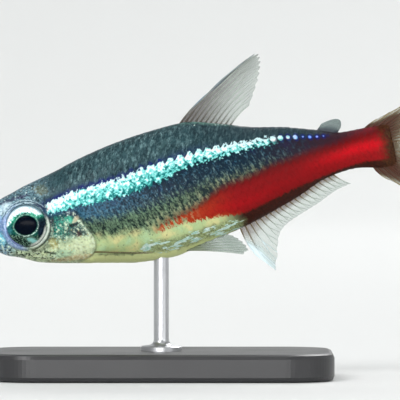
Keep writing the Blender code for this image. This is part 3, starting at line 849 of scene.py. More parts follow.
def paint_stripe(p, m, inks, skin):
    """Bright beads, one on each scale: white above, turquoise below, single dots at the rear. Their
    white and rose core is partly a painted highlight.
    """
    grit = m.fan * 0.30 + m.fine * 0.35 + m.clump * 0.55
    scallop = p.blend(m.off_stripe.ramp(-0.05, 0.25), 0.20, 0.8)
    scallop = scallop * m.along.ramp(0.26, 0.46, 0.35, 1.0)
    inside = m.stripe_half + 0.03 - m.off_stripe.size()
    inside = inside - (m.bead - 0.28).math("MAXIMUM", 0.0) * scallop
    solid = (inside + grit * 0.34).ramp(-0.04, 0.09) * m.stripe_on
    reach = m.along.ramp(0.68, 0.86, 0.24, 0.11) + m.fan * 0.03 + (m.chance - 0.5) * 0.10
    main_row = m.row.bump(0.0, 0.3)
    bead = (reach - m.bead).ramp(-0.02, 0.06) * main_row * m.along.ramp(0.875, 0.865)
    mask = p.blend(m.along.ramp(0.728, 0.758), solid, bead)
    mask = mask * (m.along + m.fine * 0.006).ramp(0.162, 0.169)
    core = 0.44 - m.bead * 0.80 + (m.off_stripe / m.stripe_half) * 0.46
    core = core + grit * 1.3 + (m.chance - 0.5) * 0.25 + m.patches * 0.35
    core = core + m.along.ramp(0.26, 0.17) * 0.30 + m.along.bump(0.64, 0.10) * 0.14
    rosy = core.ramp(0.50, 0.8) * (m.clump * 2.0 + 0.7).clamp() * inside.ramp(0.05, 0.25)
    glow = p.over(
        inks.stripe_teal,
        (core.ramp(-0.30, 0.12), inks.stripe),
        # Partly painted highlight: the white and rose core of the beads.
        (core.ramp(0.10, 0.66), inks.stripe_white),
        (rosy, inks.stripe_rose),
        (m.along.ramp(0.77, 0.83) * 0.85, inks.dot_blue),
    )
    over = m.off_stripe - m.stripe_half
    edge = (over.bump(0.14, 0.20) + over.bump(-0.12, 0.22)) * m.along.within(0.13, 0.16, 0.42, 0.66)
    halo = (reach + 0.16 - m.bead).ramp(-0.06, 0.10) * main_row
    skin = p.over(
        skin,
        (edge * (m.streak * 0.6 + m.broad * 0.3 + 0.55), inks.indigo),
        (halo * m.along.within(0.73, 0.78, 0.875, 0.885) * 0.7, inks.indigo),
        (mask, glow),
    )
    return skin, glow, (mask * core.ramp(-0.2, 0.6)).clamp()


def markings_group(name):
    """The fish's colours from its marking fields, the same on skin and scales. The colours that
    the panel sets are inputs."""
    p, wire, leave = new_group(
        "Shader", name,
        {"Vector": "Body, Stripe, Red, Chart, Scale", "Float": "Row, Fan",
         "Color": "Back Ink, Stripe Ink, Red Ink, Belly Ink"},
        {"Color": "Color, Glow", "Float": "Metallic, Roughness, Height"},
    )
    m = SimpleNamespace(row=wire["Row"], fan=wire["Fan"], chart=wire["Chart"])
    m.along, m.rise, m.under = p.parts(wire["Body"])
    m.off_stripe, m.stripe_half, m.stripe_on = p.parts(wire["Stripe"])
    m.off_red, m.red_half, m.red_on = p.parts(wire["Red"])
    crescent, m.bead, m.chance = p.parts(wire["Scale"])
    x, row, side = p.parts(m.chart)
    slanted = p.vector(x - row.size() * 0.35, row, side)
    m.streak = p.noise(slanted, 4.2, 3.0, 0.6, (1.0, 0.30, 1.0))
    m.fine = p.noise(slanted, 7.5, 2.0, 0.7, (1.0, 0.6, 1.0))
    m.clump = p.noise(m.chart, 4.4, 1.0, 0.5)
    m.broad = p.noise(m.chart, 0.9, 2.0, 0.5)
    m.patches = p.noise(m.chart, 1.5, 2.0, 0.6, (0.8, 1.8, 1.0))
    m.mark = (crescent + m.streak * 0.7 + m.fine * 0.4 - 0.25).clamp()
    inks = SimpleNamespace(**INKS, **{label: wire[f"{label.title()} Ink"] for label in PANEL_INKS})

    lower, depth = paint_flank(p, m, inks)
    flush = m.along.ramp(0.90, 0.99) * (m.streak * 0.6 + m.fine * 0.6 + 0.6)
    root = (m.along + m.fine * 0.008).ramp(0.985, 1.01)
    skin = p.over(
        lower,
        ((m.off_stripe / 0.25).ramp(-0.4, 0.4), paint_back(p, m, inks)),
        (m.along.ramp(0.80, 0.93) * m.rise.ramp(0.1, 0.6) * 0.85, inks.plum),
        (flush.clamp() * m.rise.ramp(-0.5, 0.2), inks.plum_red),
        (root, p.mix(m.fine + 0.4, inks.root_dark, inks.root_light)),
    )
    skin, silver = paint_silver(p, m, inks, skin)
    skin, red = paint_red(p, m, inks, skin)
    skin, glow, shine = paint_stripe(p, m, inks, skin)
    belly = depth.ramp(0.45, 0.7) * m.along.ramp(0.62, 0.55)
    metal = silver * 0.10 + belly * 0.08 + shine * 0.10 + (1.0 - red) * 0.10
    return finish_group(
        # Glow is a painted glow: the stripe's colours, fed to the shader's emission so that the
        # stripe gives off a little light.
        leave, Color=skin, Glow=p.mix(shine, BLACK, glow), Metallic=metal.clamp(),
        Roughness=(m.fine * 0.06 + m.broad * 0.03 + 0.40).clamp(),
        Height=m.fine * 0.6 + m.streak * 0.4,
    )


def markings(p, **fields):
    """The shared markings in a material, in the colours that the panel sets."""
    looks = bpy.context.scene.tetra_looks
    chosen = {f"{label.title()}_Ink": tuple(getattr(looks, label)) for label in PANEL_INKS}
    names = {label: p.attribute(label.lower()) for label in ("Body", "Stripe", "Red", "Chart")}
    return p.group(shared("tetra_markings", markings_group), **names, **chosen, **fields)


# Skin


def ring_places():
    nose = NOSE_ROUND * (1 - np.cos(np.linspace(0, math.pi / 2, NOSE_RINGS + 1)[1:]))
    head = np.linspace(NOSE_ROUND, HEAD_END, HEAD_RINGS + 1)[1:]
    body = np.linspace(HEAD_END, 1.0, BODY_RINGS + 1)[1:]
    end = 1.0 + END_REACH * np.sin(np.linspace(0, math.pi / 2, END_RINGS + 1)[1:])
    return np.concatenate((nose, head, body, end))


def with_relief(grid):
    """The skin's grid of points with the forms of the head raised along its normals."""
    down, round_ = np.gradient(grid, axis=0), np.gradient(grid, axis=1)
    round_[:, 0] = (grid[:, 1] - grid[:, -1]) / 2
    round_[:, -1] = (grid[:, 0] - grid[:, -2]) / 2
    normal = np.cross(down, round_)
    normal /= np.maximum(np.linalg.norm(normal, axis=-1, keepdims=True), 1e-12)
    outward = grid - np.mean(grid, axis=1, keepdims=True)
    normal *= np.sign(np.sum(normal * outward, axis=-1, keepdims=True))
    along, height = side_view(grid)
    on_side = np.where(along < 0.03, 1.0, smooth_step(0.12, 0.42, np.abs(normal[..., 1])))
    lift = relief(along, height) * MM * on_side * (along < 0.30)
    return grid + normal * lift[..., None]


def signed_rows(angles, grid, middle_turn, sign):
    """Distance over the skin from the main row of scales, in mm, up to the back positive."""
    steps = np.linalg.norm(np.diff(grid, axis=1), axis=-1)
    run = np.concatenate((np.zeros((len(grid), 1)), np.cumsum(steps, axis=1)), axis=1)
    near = np.abs(angles - middle_turn) < math.pi / 2 - 0.05
    level = table_at(SCALE_ROW, grid[:, 0, 0] / STANDARD_LENGTH)[0] * STANDARD_LENGTH
    rows = np.empty_like(run)
    for i in range(len(grid)):
        heights, order = grid[i, near, 2], np.argsort(grid[i, near, 2])
        rows[i] = sign * (run[i] - np.interp(level[i], heights[order], run[i, near][order]))
    return rows / MM


def build_skin():
    alongs = ring_places()
    angles = np.linspace(-math.pi / 2, 1.5 * math.pi, AROUND, endpoint=False)
    grid = with_relief(body_points(alongs[:, None], angles[None, :], -SKIN_INSET))
    right = signed_rows(angles, grid, 0.0, 1)
    left = signed_rows(angles, grid, math.pi, -1)
    rows = np.where(angles[None, :] <= math.pi / 2, right, left)
    tip = len(alongs) * AROUND
    faces = [(tip, (j + 1) % AROUND, j) for j in range(AROUND)]
    faces += grid_faces(len(alongs), AROUND, closed=True)
    faces.append(list(range(tip - AROUND, tip)))
    points = np.concatenate((grid.reshape(-1, 3), [[SKIN_INSET, 0, -0.2 * MM]]))
    skin = new_object("fish_skin", posed(points), faces)
    face_outward(skin)

    sockets = [
        eye_solid(f"socket_{word}", side, SOCKET_GAP, around=72, rings=18) for side, word in SIDES
    ]
    for socket in sockets:
        cut = skin.modifiers.new(socket.name, "BOOLEAN")
        cut.operation, cut.solver, cut.object = "DIFFERENCE", "EXACT", socket
    bake_modifiers(skin)
    for socket in sockets:
        bpy.data.objects.remove(socket)

    mesh = skin.data
    lie = stacked(grid[..., 0] / MM, rows).reshape(-1, 2)
    chart_skin(mesh, points, np.concatenate((lie, [[0, 0]])))
    points = unposed(vertex_points(mesh))
    set_marking_fields(mesh, points, points)
    along, height = side_view(points)
    distance, side, _ = line_distance(along, height, gill_edge())
    eye = np.hypot(along - EYE_CENTRE[0], height - EYE_CENTRE[1]) / EYE_RADIUS
    scaled = scaled_distance(along, height)
    set_vectors(mesh, "head", points[:, 0] / MM, points[:, 2] / MM, scaled)
    set_vectors(mesh, "rims", eye, distance * side * UNIT, 0.0)
    mesh.materials.clear()
    mesh.materials.append(skin_material())
    return skin


def chart_skin(mesh, points, lie):
    """Lays the skin out flat, each side in its own half: the chart that patterns are painted on,
    and the map for baking, where the head gets more room than the scaled part."""
    tree = KDTree(len(points))
    for i, point in enumerate(posed(points)):
        tree.insert(point, i)
    tree.balance()
    lie = lie[[tree.find(vertex.co)[1] for vertex in mesh.vertices]]
    middles = unposed(np.array([face.center for face in mesh.polygons]))
    right = middles[:, 1] > sweep(middles[:, 0])
    sizes = [len(face.vertices) for face in mesh.polygons]
    u = np.interp(lie[:, 0] / UNIT, BAKE_ALONGS, BAKE_PLACES)
    flat = stacked(u, lie[:, 1] / CHART_HEIGHT + BAKE_ROW)[corner_vertices(mesh)]
    flat[:, 1] += np.repeat(right, sizes) * BAKE_RIGHT
    set_corner_map(mesh, "OFBake", flat)
    y = unposed(vertex_points(mesh))[:, 1]
    side = np.where(y > sweep(lie[:, 0] * MM), SIDES_APART, 0.0)
    set_vectors(mesh, "chart", lie[:, 0], lie[:, 1], side)


def soft_patch_group():
    """A soft-edged oval of skin, 1 inside it and 0 outside, ragged by a noise."""
    p, wire, leave = new_group(
        "Shader", "soft_patch",
        {"Vector": "Place",
         "Float": "Centre X, Centre Z, Reach X, Reach Z, Cosine, Sine, Noise"},
        {"Float": "Mask"},
    )
    x, z, _ = p.parts(wire["Place"])
    x, z = x - wire["Centre X"], z - wire["Centre Z"]
    along = (x * wire["Cosine"] + z * wire["Sine"]) / wire["Reach X"]
    across = (z * wire["Cosine"] - x * wire["Sine"]) / wire["Reach Z"]
    return finish_group(
        leave, Mask=(along.hypot(across) + wire["Noise"] * 0.28).ramp(1.25, 0.65)
    )


# Patches of colour on the head: centre and reach in mm in side view, turn in degrees, strength
# and colour
HEAD_PATCHES = {
    "nape_gold": (4.75, 2.00, 0.52, 0.42, -20, 0.42, ink(132, 128, 78)),
    "brow_violet": (2.70, 1.72, 1.60, 0.13, 6, 0.70, ink(46, 40, 74)),
    "brow_white": (1.75, 1.15, 0.75, 0.28, 28, 0.75, ink(204, 226, 236)),
    "behind_eye": (5.10, 0.00, 0.45, 0.85, 18, 0.95, ink(16, 26, 54)),
    "cover_shadow": (6.50, -0.06, 1.80, 0.42, -3, 0.95, ink(14, 34, 58)),
    "cheek_green": (5.60, -0.85, 0.60, 0.80, -14, 0.62, ink(24, 90, 84)),
    "cheek_gold": (4.90, -2.00, 0.30, 0.44, 24, 0.50, ink(184, 168, 88)),
    "cover_teal": (6.35, -0.50, 0.36, 0.24, -30, 0.85, ink(66, 170, 142)),
    "cover_tan": (6.78, -0.62, 0.32, 0.16, 38, 0.75, ink(176, 162, 134)),
    "cover_fold": (6.55, -0.98, 0.62, 0.12, 14, 0.95, ink(14, 22, 28)),
    "cover_shade": (6.60, -1.42, 0.70, 0.40, -14, 0.85, ink(52, 70, 72)),
    "cover_spot": (6.85, -1.72, 0.24, 0.20, 0, 0.80, ink(72, 48, 52)),
    "cover_cream": (6.75, -2.60, 1.05, 0.66, 12, 0.75, ink(214, 226, 184)),
    "low_mint": (5.35, -2.85, 0.90, 0.34, -4, 0.70, ink(186, 222, 186)),
    "eye_foot": (3.20, -2.35, 1.20, 0.20, 2, 0.55, ink(86, 104, 90)),
    "throat_tan": (6.40, -3.35, 1.90, 0.20, -4, 0.55, ink(208, 180, 134)),
    "lip_lilac": (1.20, 0.30, 0.34, 0.80, 0, 0.60, ink(92, 116, 172)),
    "lip_cyan": (1.25, -0.95, 0.34, 0.50, 0, 0.60, ink(104, 186, 200)),
}


def paint_head(p, f):
    """The bare skin from snout to gill cover."""
    crown = p.mix(f.grain * 0.9 + f.mottle * 0.3 + 0.42, ink(24, 42, 56), ink(116, 154, 164))
    jaw = p.mix(f.grain * 0.8 + f.mottle * 0.5 + 0.6, ink(110, 138, 108), ink(212, 226, 180))
    blue = p.mix(f.veins * 0.7 + f.grain * 0.7 + 0.40, ink(36, 88, 120), ink(156, 196, 222))
    dusk = p.mix(f.grain * 0.8 + f.mottle * 0.4 + 0.40, ink(50, 58, 58), ink(150, 164, 158))
    head = p.over(
        p.mix(f.grain * 0.9 + f.veins * 0.6 + 0.45, ink(22, 46, 48), ink(150, 184, 162)),
        ((f.z + f.mottle * 0.5 + f.grain * 0.3).ramp(-1.55, -2.25), jaw),
        ((f.z + f.mottle * 0.2 - f.x * 0.06).ramp(-0.65, 0.15), crown),
        (f.x.bump(1.15, 0.75) * f.z.ramp(2.2, 1.2) * 0.85, blue),
        ((f.x + f.mottle * 0.3).ramp(1.05, 0.35) * 0.85, dusk),
    )
    group = soft_patch_group()
    for cx, cz, rx, rz, degrees, strength, colour in HEAD_PATCHES.values():
        turn = math.radians(degrees)
        mask = p.group(
            group, Place=f.place, Centre_X=cx, Centre_Z=cz, Reach_X=rx, Reach_Z=rz,
            Cosine=math.cos(turn), Sine=math.sin(turn), Noise=f.mottle * 1.3 + f.grain * 1.7,
        )["Mask"]
        head = p.mix(mask * strength, head, colour)
    return head


def paint_grains(p, f, head):
    """Dark and pale grains that cover the whole head, coarser and brighter low on its side."""
    low = f.z.ramp(0.6, -0.8)
    rough = f.clump * 0.9 + f.veins * 0.5 + f.speck * 0.3
    dark = p.blend(f.z.ramp(-1.5, -2.3), 0.70, 0.40) * p.blend(low, 0.7, 1.0)
    pale = p.mix(low, ink(176, 204, 214), ink(218, 234, 204))
    threads = p.noise(f.solid, 3.6, 1.0, 0.5).size().ramp(0.20, 0.0)
    pepper = (f.speck + f.mottle * 0.3).ramp(0.0, -0.30)
    pepper = pepper * f.z.bump(f.x * -0.22 - 1.72, 0.46) * f.x.ramp(5.6, 4.4)
    gold = p.dots(f.solid, 6.0, 0.36, 0.30) * f.z.ramp(-0.9, -1.6) * f.x.ramp(3.6, 4.6)
    white = p.dots(f.solid, 5.0, 0.38, 0.20) * (f.z.ramp(-2.0, 1.5) * 0.3 + 0.4)
    return p.over(
        head,
        (rough.ramp(0.0, -0.70) * dark, ink(18, 34, 36)),
        (rough.ramp(0.10, 0.75) * p.blend(low, 0.35, 0.7), pale),
        (threads * f.x.bump(5.6, 0.8) * f.z.bump(-0.9, 0.8) * 0.75, ink(56, 160, 136)),
        (pepper * 0.9, ink(30, 38, 28)),
        (gold * 0.6, ink(206, 180, 96)),
        (white, ink(214, 232, 226)),
    )


def paint_head_lines(p, f, head):
    """Rims of eye and gill cover, with a painted highlight on the rim behind the eye and painted
    shade in the gill slit.
    """
    past_eye = f.x - 3.2
    behind = past_eye.ramp(-0.3, 0.5) * (f.z + 0.35).ramp(0.9, -0.2)
    front = p.mix(f.grain * 0.8 + 0.45, ink(84, 124, 164), ink(178, 190, 226))
    above = f.z.ramp(0.3, 0.9) * f.eye.ramp(1.34, 1.22) * (f.speck * 1.2 + 0.8).clamp()
    rings = (f.eye * 58.0 + f.mottle * 3.0 + f.grain * 3.0).math("SINE").ramp(-0.6, 0.8)
    brow = f.z.ramp(0.0, 0.4) * past_eye.ramp(0.6, 1.2)
    arc = (f.gill + f.grain * 0.12).bump(-0.10, 0.10) * f.z.within(-3.2, -2.6, -0.5, 0.1)
    arc = arc * (f.speck * 1.6 + f.mottle * 1.6 + 0.7).clamp()
    # Painted shade: a dark line in the groove of the gill slit, under the edge of the gill cover.
    slit = (f.gill + f.grain * 0.06).bump(0.07, 0.09) * f.z.ramp(0.2, -0.4)
    slit = slit * p.blend(f.z.ramp(-1.6, -2.4), 0.85, 0.45) * (f.mottle * 0.8 + 0.8).clamp()
    return p.over(
        head,
        (f.eye.bump(1.30, 0.04) * behind * 0.6, ink(70, 62, 56)),
        (f.eye.bump(1.17, 0.05) * behind * 0.85, ink(34, 32, 36)),
        # Painted highlight: a pale ring on the skin's rim behind and below the eye, going on from
        # the one on the eye.
        (f.eye.bump(1.06, 0.05) * behind * 0.85, ink(200, 208, 198)),
        (f.eye.ramp(1.26, 1.12) * past_eye.ramp(0.1, -0.8) * 0.85, front),
        (above * 0.8, p.mix(rings, ink(54, 82, 96), ink(176, 200, 208))),
        (f.eye.bump(1.14, 0.07) * brow * 0.85, ink(24, 26, 60)),
        (arc * 0.8, ink(204, 218, 190)),
        (slit, ink(26, 34, 28)),
    )


def skin_material():
    # Emission Strength lets the stripe's painted glow give off a little light.
    made, p = new_material(
        "tetra_skin", Coat_Roughness=0.15, Coat_IOR=1.30, IOR=1.36, Specular_IOR_Level=0.12,
        Emission_Strength=0.05,
    )
    f = SimpleNamespace(place=p.attribute("head"))
    f.x, f.z, scaled = p.parts(f.place)
    f.eye, f.gill, _ = p.parts(p.attribute("rims"))
    f.solid = p.vector(*(part * (1 / MM) for part in p.parts(p.object_place())))
    f.mottle = p.noise(f.solid, 2.6, 3.0, 0.6)
    f.grain = p.noise(f.solid, 6.5, 2.0, 0.7)
    f.veins = p.noise(f.solid, 3.8, 3.0, 0.7)
    f.speck = p.noise(f.solid, 5.2, 1.0, 0.5)
    f.clump = p.noise(f.solid, 4.2, 1.0, 0.5)
    fan = p.noise(p.attribute("chart"), 6.0, 2.0, 0.7)
    out = markings(p, Scale=p.vector(0.0, 0.22, 0.5), Row=NO_ROW, Fan=fan)
    head = paint_head_lines(p, f, paint_grains(p, f, paint_head(p, f)))
    off, half, strength = p.parts(p.attribute("stripe"))
    near_stripe = (half + 0.45 + f.mottle * 0.12 - (off - 0.15).size()).ramp(-0.1, 0.25)
    nape = (f.z - 0.5).ramp(0.0, 0.7) * (f.x + f.mottle * 0.3).ramp(3.8, 6.2)
    bare = scaled.ramp(0.25, -0.10) * (1.0 - nape) * (1.0 - near_stripe * strength)
    bare = bare.clamp()
    return wire_shader(
        made, (f.veins * 0.5 + f.grain * 0.4, 0.45, 0.05 * MM),
        Base_Color=p.mix(bare, out["Color"], head),
        Emission_Color=p.mix(bare, out["Glow"], BLACK),
        Metallic=p.blend(bare, out["Metallic"], (f.x.ramp(3.0, 0.8) * 0.25 + 0.15).clamp()),
        Roughness=p.blend(bare, out["Roughness"], f.grain * 0.07 + 0.36),
        Coat_Weight=(f.grain * 0.1 + 0.12).clamp(),
    )


# Eyes


def eye_solid(name, side, grow, around, rings, lens=0.0):
    """The eye's round body: a low dome outside its rim, a bowl inside it, and a lens that
    swells out of the pupil."""
    radius, dome, depth = (
        share * STANDARD_LENGTH + grow for share in (EYE_RADIUS, EYE_DOME, EYE_DEPTH)
    )
    quarter = np.linspace(math.pi / 2, 0, rings + 1)[1:]
    turns = np.concatenate((quarter, -quarter[::-1][1:]))[:, None]
    across = np.linspace(0, math.tau, around, endpoint=False)
    ring = radius * np.cos(turns)
    out = np.where(turns >= 0, dome, depth) * np.sin(turns)
    local = stacked(ring * np.cos(across), out, ring * np.sin(across)).reshape(-1, 3)
    local = np.concatenate((local, [[0, dome, 0], [0, -depth, 0]]))
    cx, cz, rx, rz = PUPIL
    off = np.hypot((local[:, 0] / radius - cx) / rx, (local[:, 2] / radius - cz) / rz)
    swell = np.sqrt(np.clip(1 - (off / 0.97) ** 2, 0, 1)) - 0.5 * bell(off, 1.04, 0.07)
    local[:, 1] += lens * swell * (local[:, 1] > 0)
    faces = grid_faces(len(turns), around, closed=True)
    first = len(turns) * around
    end = first - around
    for j in range(around):
        k = (j + 1) % around
        faces += [(first, k, j), (first + 1, end + j, end + k)]
    cosine, sine = math.cos(side * EYE_TURN), math.sin(side * EYE_TURN)
    x, y, z = local.T
    centre = np.array((EYE_CENTRE[0], side * EYE_RIM, EYE_CENTRE[1])) * STANDARD_LENGTH
    points = stacked(x * cosine - side * y * sine, x * sine + side * y * cosine, z) + centre
    made = new_object(name, posed(points), faces)
    face_outward(made)
    set_vectors(made.data, "eye", local / radius)
    return made


def paint_iris(p, e):
    """The ring of the iris: green above and in front, navy behind and dark below."""
    rear = p.mix(e.fine * 0.5 + 0.25, ink(4, 14, 26), ink(34, 50, 66))
    front = p.mix(e.fine * 0.5 + 0.40, ink(14, 56, 66), ink(66, 138, 148))
    low = p.mix(e.hair * 1.1 + e.fine * 0.4 + 0.12, ink(8, 24, 22), ink(120, 158, 136))
    bright = (e.z - 0.50).bump(0.0, 0.20) * e.x.size().ramp(0.20, 0.50)
    along, across = e.x * 0.88 - e.z * 0.47 - 0.51, e.x * 0.47 + e.z * 0.88 + 0.56
    patch = ((along / 0.26).hypot(across / 0.12) + e.hair * 0.9).ramp(1.25, 0.5)
    return p.over(
        p.mix(e.fine * 0.5 + e.hair * 0.2 + 0.35, ink(6, 36, 40), ink(30, 124, 100)),
        ((e.x - e.z * 0.25 + e.fine * 0.08).ramp(0.50, 0.70), rear),
        ((e.x * -1.0 + e.fine * 0.08).ramp(0.60, 0.80) * 0.9, front),
        ((e.z * -1.0 - e.x * 0.25 + e.fine * 0.10).ramp(0.36, 0.56), low),
        (bright * (e.fine * 0.5 + 0.6), ink(50, 180, 140)),
        (patch * 0.8, ink(130, 190, 184)),
    )


def eye_material():
    made, p = new_material(
        "tetra_eye", Coat_Weight=0.05, Coat_Roughness=0.05, Coat_IOR=1.28, IOR=1.33,
        Specular_IOR_Level=0.05,
    )
    place = p.attribute("eye")
    e = SimpleNamespace(fine=p.noise(place, 9.0, 2.0, 0.65), hair=p.noise(place, 15.0, 2.0, 0.7))
    e.x, _, e.z = p.parts(place)
    radius = e.x.hypot(e.z)
    cx, cz, rx, rz = PUPIL
    px = (e.x - cx) / rx
    front = px.math("MINIMUM", 0.0)
    pupil = px.hypot((e.z - cz) / rz * (front * front * 0.22 + 1.0))
    pupil = pupil + p.noise(place, 5.0, 2.0, 0.5) * 0.03
    mask = pupil.ramp(1.0, 0.95)
    fade = (e.x.hypot(e.z + 0.30) + e.fine * 0.14 - 0.91).ramp(-0.06, 0.12)
    fade = fade * (e.z + e.fine * 0.10 - e.x * 0.16).ramp(0.16, 0.36)
    silver = p.over(
        p.mix(fade.ramp(0.35, 0.95), ink(120, 214, 190), ink(234, 246, 250)),
        (e.hair.ramp(0.1, 0.7) * 0.5, ink(255, 250, 244)),
        ((e.fine + e.hair).ramp(0.0, -0.7) * 0.6, ink(96, 164, 168)),
    )
    glint = (pupil - 1.09).bump(0.0, 0.05) * (e.hair * 0.9 + e.fine * 0.6 + 0.40).clamp()
    glint = glint * p.blend((e.z * -1.0).ramp(0.1, 0.45), 0.45, 1.0)
    # Painted highlight: a pale band where the light catches the eye's rim behind and below.
    rear_rim_highlight = radius.ramp(0.86, 0.94) * (e.x * 0.64 - e.z * 0.77).ramp(0.66, 0.85)
    front_rim = radius.ramp(0.90, 0.98) * (e.x * -1.0 - e.z * 0.1).ramp(0.3, 0.7)
    top_rim = (radius + e.fine * 0.02).ramp(0.88, 0.95) * e.z.ramp(0.3, 0.6)
    colour = p.over(
        paint_iris(p, e),
        (fade * 1.3 * (radius + e.fine * 0.03).ramp(1.0, 0.92), silver),
        (glint, ink(214, 236, 226)),
        (rear_rim_highlight * (e.fine * 0.4 + 0.8), ink(206, 212, 204)),
        (front_rim * 0.85, ink(136, 150, 206)),
        (top_rim * 0.8, ink(96, 128, 144)),
        (mask, ink(2, 8, 20)),
    )
    return wire_shader(
        made, Base_Color=colour, Metallic=((1.0 - mask) * 0.15).clamp(),
        Roughness=mask * -0.2 + e.fine * 0.05 + 0.4,
    )


# Scales


def one_scale():
    """A single scale, one unit long and wide, its root at -X and its free edge rounded. Its top
    is a low dome and its underside is flat."""
    across = (-1.0, -0.88, -0.45, 0.0, 0.45, 0.88, 1.0)
    along = (0.0, 0.28, 0.52, 0.74, 0.90, 1.0)
    points = []
    for t in along:
        tail = max(0.0, (t - 0.40) / 0.60)
        spread = 0.34 if t == 1.0 else math.sqrt(1 - tail**2.1) * (0.8 + 0.2 * min(1, t / 0.4))
        for v in across:
            inner = 0.0 < t < 1.0 and abs(v) < 1.0
            bow = -0.05 * v * v if t == 1.0 else 0.0
            points.append((t - 0.5 + bow, 0.5 * v * spread, 1.0 - 0.3 * v * v if inner else 0.0))
    rows, columns = len(along), len(across)
    rim = rim_of_grid(rows, columns)
    made = new_object("one_scale", points, grid_faces(rows, columns) + [rim])
    face_outward(made)
    for edge in made.data.edges:
        edge.use_edge_sharp = set(edge.vertices) <= set(rim)
    return made


def flank_chart(side):
    """One flank laid out flat as a UV map, from past the back to past the belly, so that scales
    there have skin to lie on. Also its edges at back and belly, in mm from the main row."""
    alongs = np.linspace(CHART_START, CHART_END, FLANK_COLUMNS)
    middle, reach = (0.0 if side > 0 else math.pi), math.pi / 2 + math.radians(48)
    angles = middle + np.linspace(-reach, reach, FLANK_ROWS)
    grid = body_points(alongs[:, None], angles[None, :], -SKIN_INSET)
    rows = signed_rows(angles, grid, middle, side)
    faces = grid_faces(len(alongs), len(angles))
    made = new_object("flank_chart", posed(grid.reshape(-1, 3)), faces)
    flat = stacked(grid[..., 0] / STANDARD_LENGTH, rows / CHART_HEIGHT + 0.5).reshape(-1, 2)
    set_corner_map(made.data, "chart_map", flat[corner_vertices(made.data)])
    top = [np.interp(math.pi / 2, angles, row) for row in rows]
    foot = [np.interp(middle - side * math.pi / 2, angles, row) for row in rows]
    return made, alongs, top, foot


def scale_points(side, alongs, top, foot):
    """Where each scale's middle lies on the chart, its pitch along and across and a random
    number, and its row."""
    columns = [SCALE_START]
    while columns[-1] < SCALE_END:
        columns.append(columns[-1] + float(table_at(SCALE_ROW, columns[-1])[1]) / UNIT / 2)
    draw = np.random.default_rng(SCALE_SEEDS[side])
    points, sizes, rows = [], [], []
    for row in range(-SCALE_ROWS, SCALE_ROWS + 1):
        for along in columns[row % 2::2]:
            level, pitch, step = (float(value) for value in table_at(SCALE_ROW, along))
            off = row * step
            dx, dy = draw.normal(0, SCALE_SHIFT, 2)
            chance = draw.random()
            high, low = np.interp(along, alongs, top), np.interp(along, alongs, foot)
            behind = scaled_distance(np.array([along]), np.array([level + off * 0.94 / UNIT]))
            inside = low + BELLY_BARE * step < off < high - BACK_BARE * step
            if inside and behind[0] > GILL_BARE:
                points.append((along + dx / UNIT, 0.5 + (off + dy) / CHART_HEIGHT, 0.0))
                sizes.append((pitch, step, chance))
                rows.append(row)
    return np.array(points), np.array(sizes), np.array(rows)


def scales_tree():
    """Lays one scale on each point of the chart, then bends them all on to the flank."""
    p, wire, leave = new_group(
        "Geometry", "lay_scales",
        {"Geometry": "Geometry", "Object": "Scale, Flank", "Material": "Material",
         "Float": "Length, Width, Root Sunk, Edge Raised, Dome", "Int": "Seed"},
        {"Geometry": "Geometry"},
    )
    place = p.node("GeometryNodeInputPosition", {})
    scale = p.node("GeometryNodeObjectInfo", {"Object": wire["Scale"]}, "Geometry")
    flank = p.node("GeometryNodeObjectInfo", {"Object": wire["Flank"]}, "Geometry")
    pitch, step, _ = p.parts(p.named("size"))
    length = pitch * wire["Length"] * (1 / UNIT)
    width = step * wire["Width"] * (1 / CHART_HEIGHT)
    turns = {2: -0.06, 3: 0.06, "Seed": wire["Seed"]}
    spin = p.node("FunctionNodeRandomValue", turns, 1, data_type="FLOAT")
    laid = p.node(
        "GeometryNodeInstanceOnPoints",
        {
            "Points": p.store(wire["Geometry"], "root", place),
            "Instance": p.store(scale, "own", place),
            "Scale": p.vector(length, width, 1.0),
            "Rotation": p.vector(0.0, 0.0, spin),
        },
    )
    flat = p.node("GeometryNodeRealizeInstances", {"Geometry": laid})
    own = p.named("own")
    patch = p.vectors("MULTIPLY", own, (0.003, 0.003, 0.0))
    home = p.vectors("MULTIPLY", p.named("root"), (0.95, 1.0, 0.0))
    flat = p.store(flat, "OFBake", p.vectors("ADD", home, patch), "FLOAT2", "CORNER")
    flat = p.store(flat, "laid", place)

    def on_flank(kind):
        inputs = {"Mesh": flank, "Value": p.node(kind, {}), "Sample UV": place,
                  "Source UV Map": p.named("chart_map")}
        return p.node("GeometryNodeSampleUVSurface", inputs, "Value", data_type="FLOAT_VECTOR")

    ground = on_flank("GeometryNodeInputPosition")
    normal = on_flank("GeometryNodeInputNormal")
    flat = p.store(flat, "up", normal)
    x, _, z = p.parts(own)
    slope = wire["Root Sunk"] + wire["Edge Raised"]
    lift = (x + 0.5) * slope - wire["Root Sunk"] + z * wire["Dome"]
    raised = p.node("ShaderNodeVectorMath", {0: normal, "Scale": lift}, operation="SCALE")
    spot = p.vectors("ADD", ground, raised)
    moved = p.node("GeometryNodeSetPosition", {"Geometry": flat, "Position": spot})
    return finish_group(leave, Geometry=p.real_in(wire["Material"], moved))


def apply_tree(obj, tree, **inputs):
    """Runs a geometry tree on an object and keeps the result as its plain mesh."""
    modifier = obj.modifiers.new(tree.name, "NODES")
    modifier.node_group = tree
    for item in tree.interface.items_tree:
        label = item.name.replace(" ", "_")
        if item.in_out == "INPUT" and label in inputs:
            modifier[item.identifier] = inputs[label]
    bake_modifiers(obj)


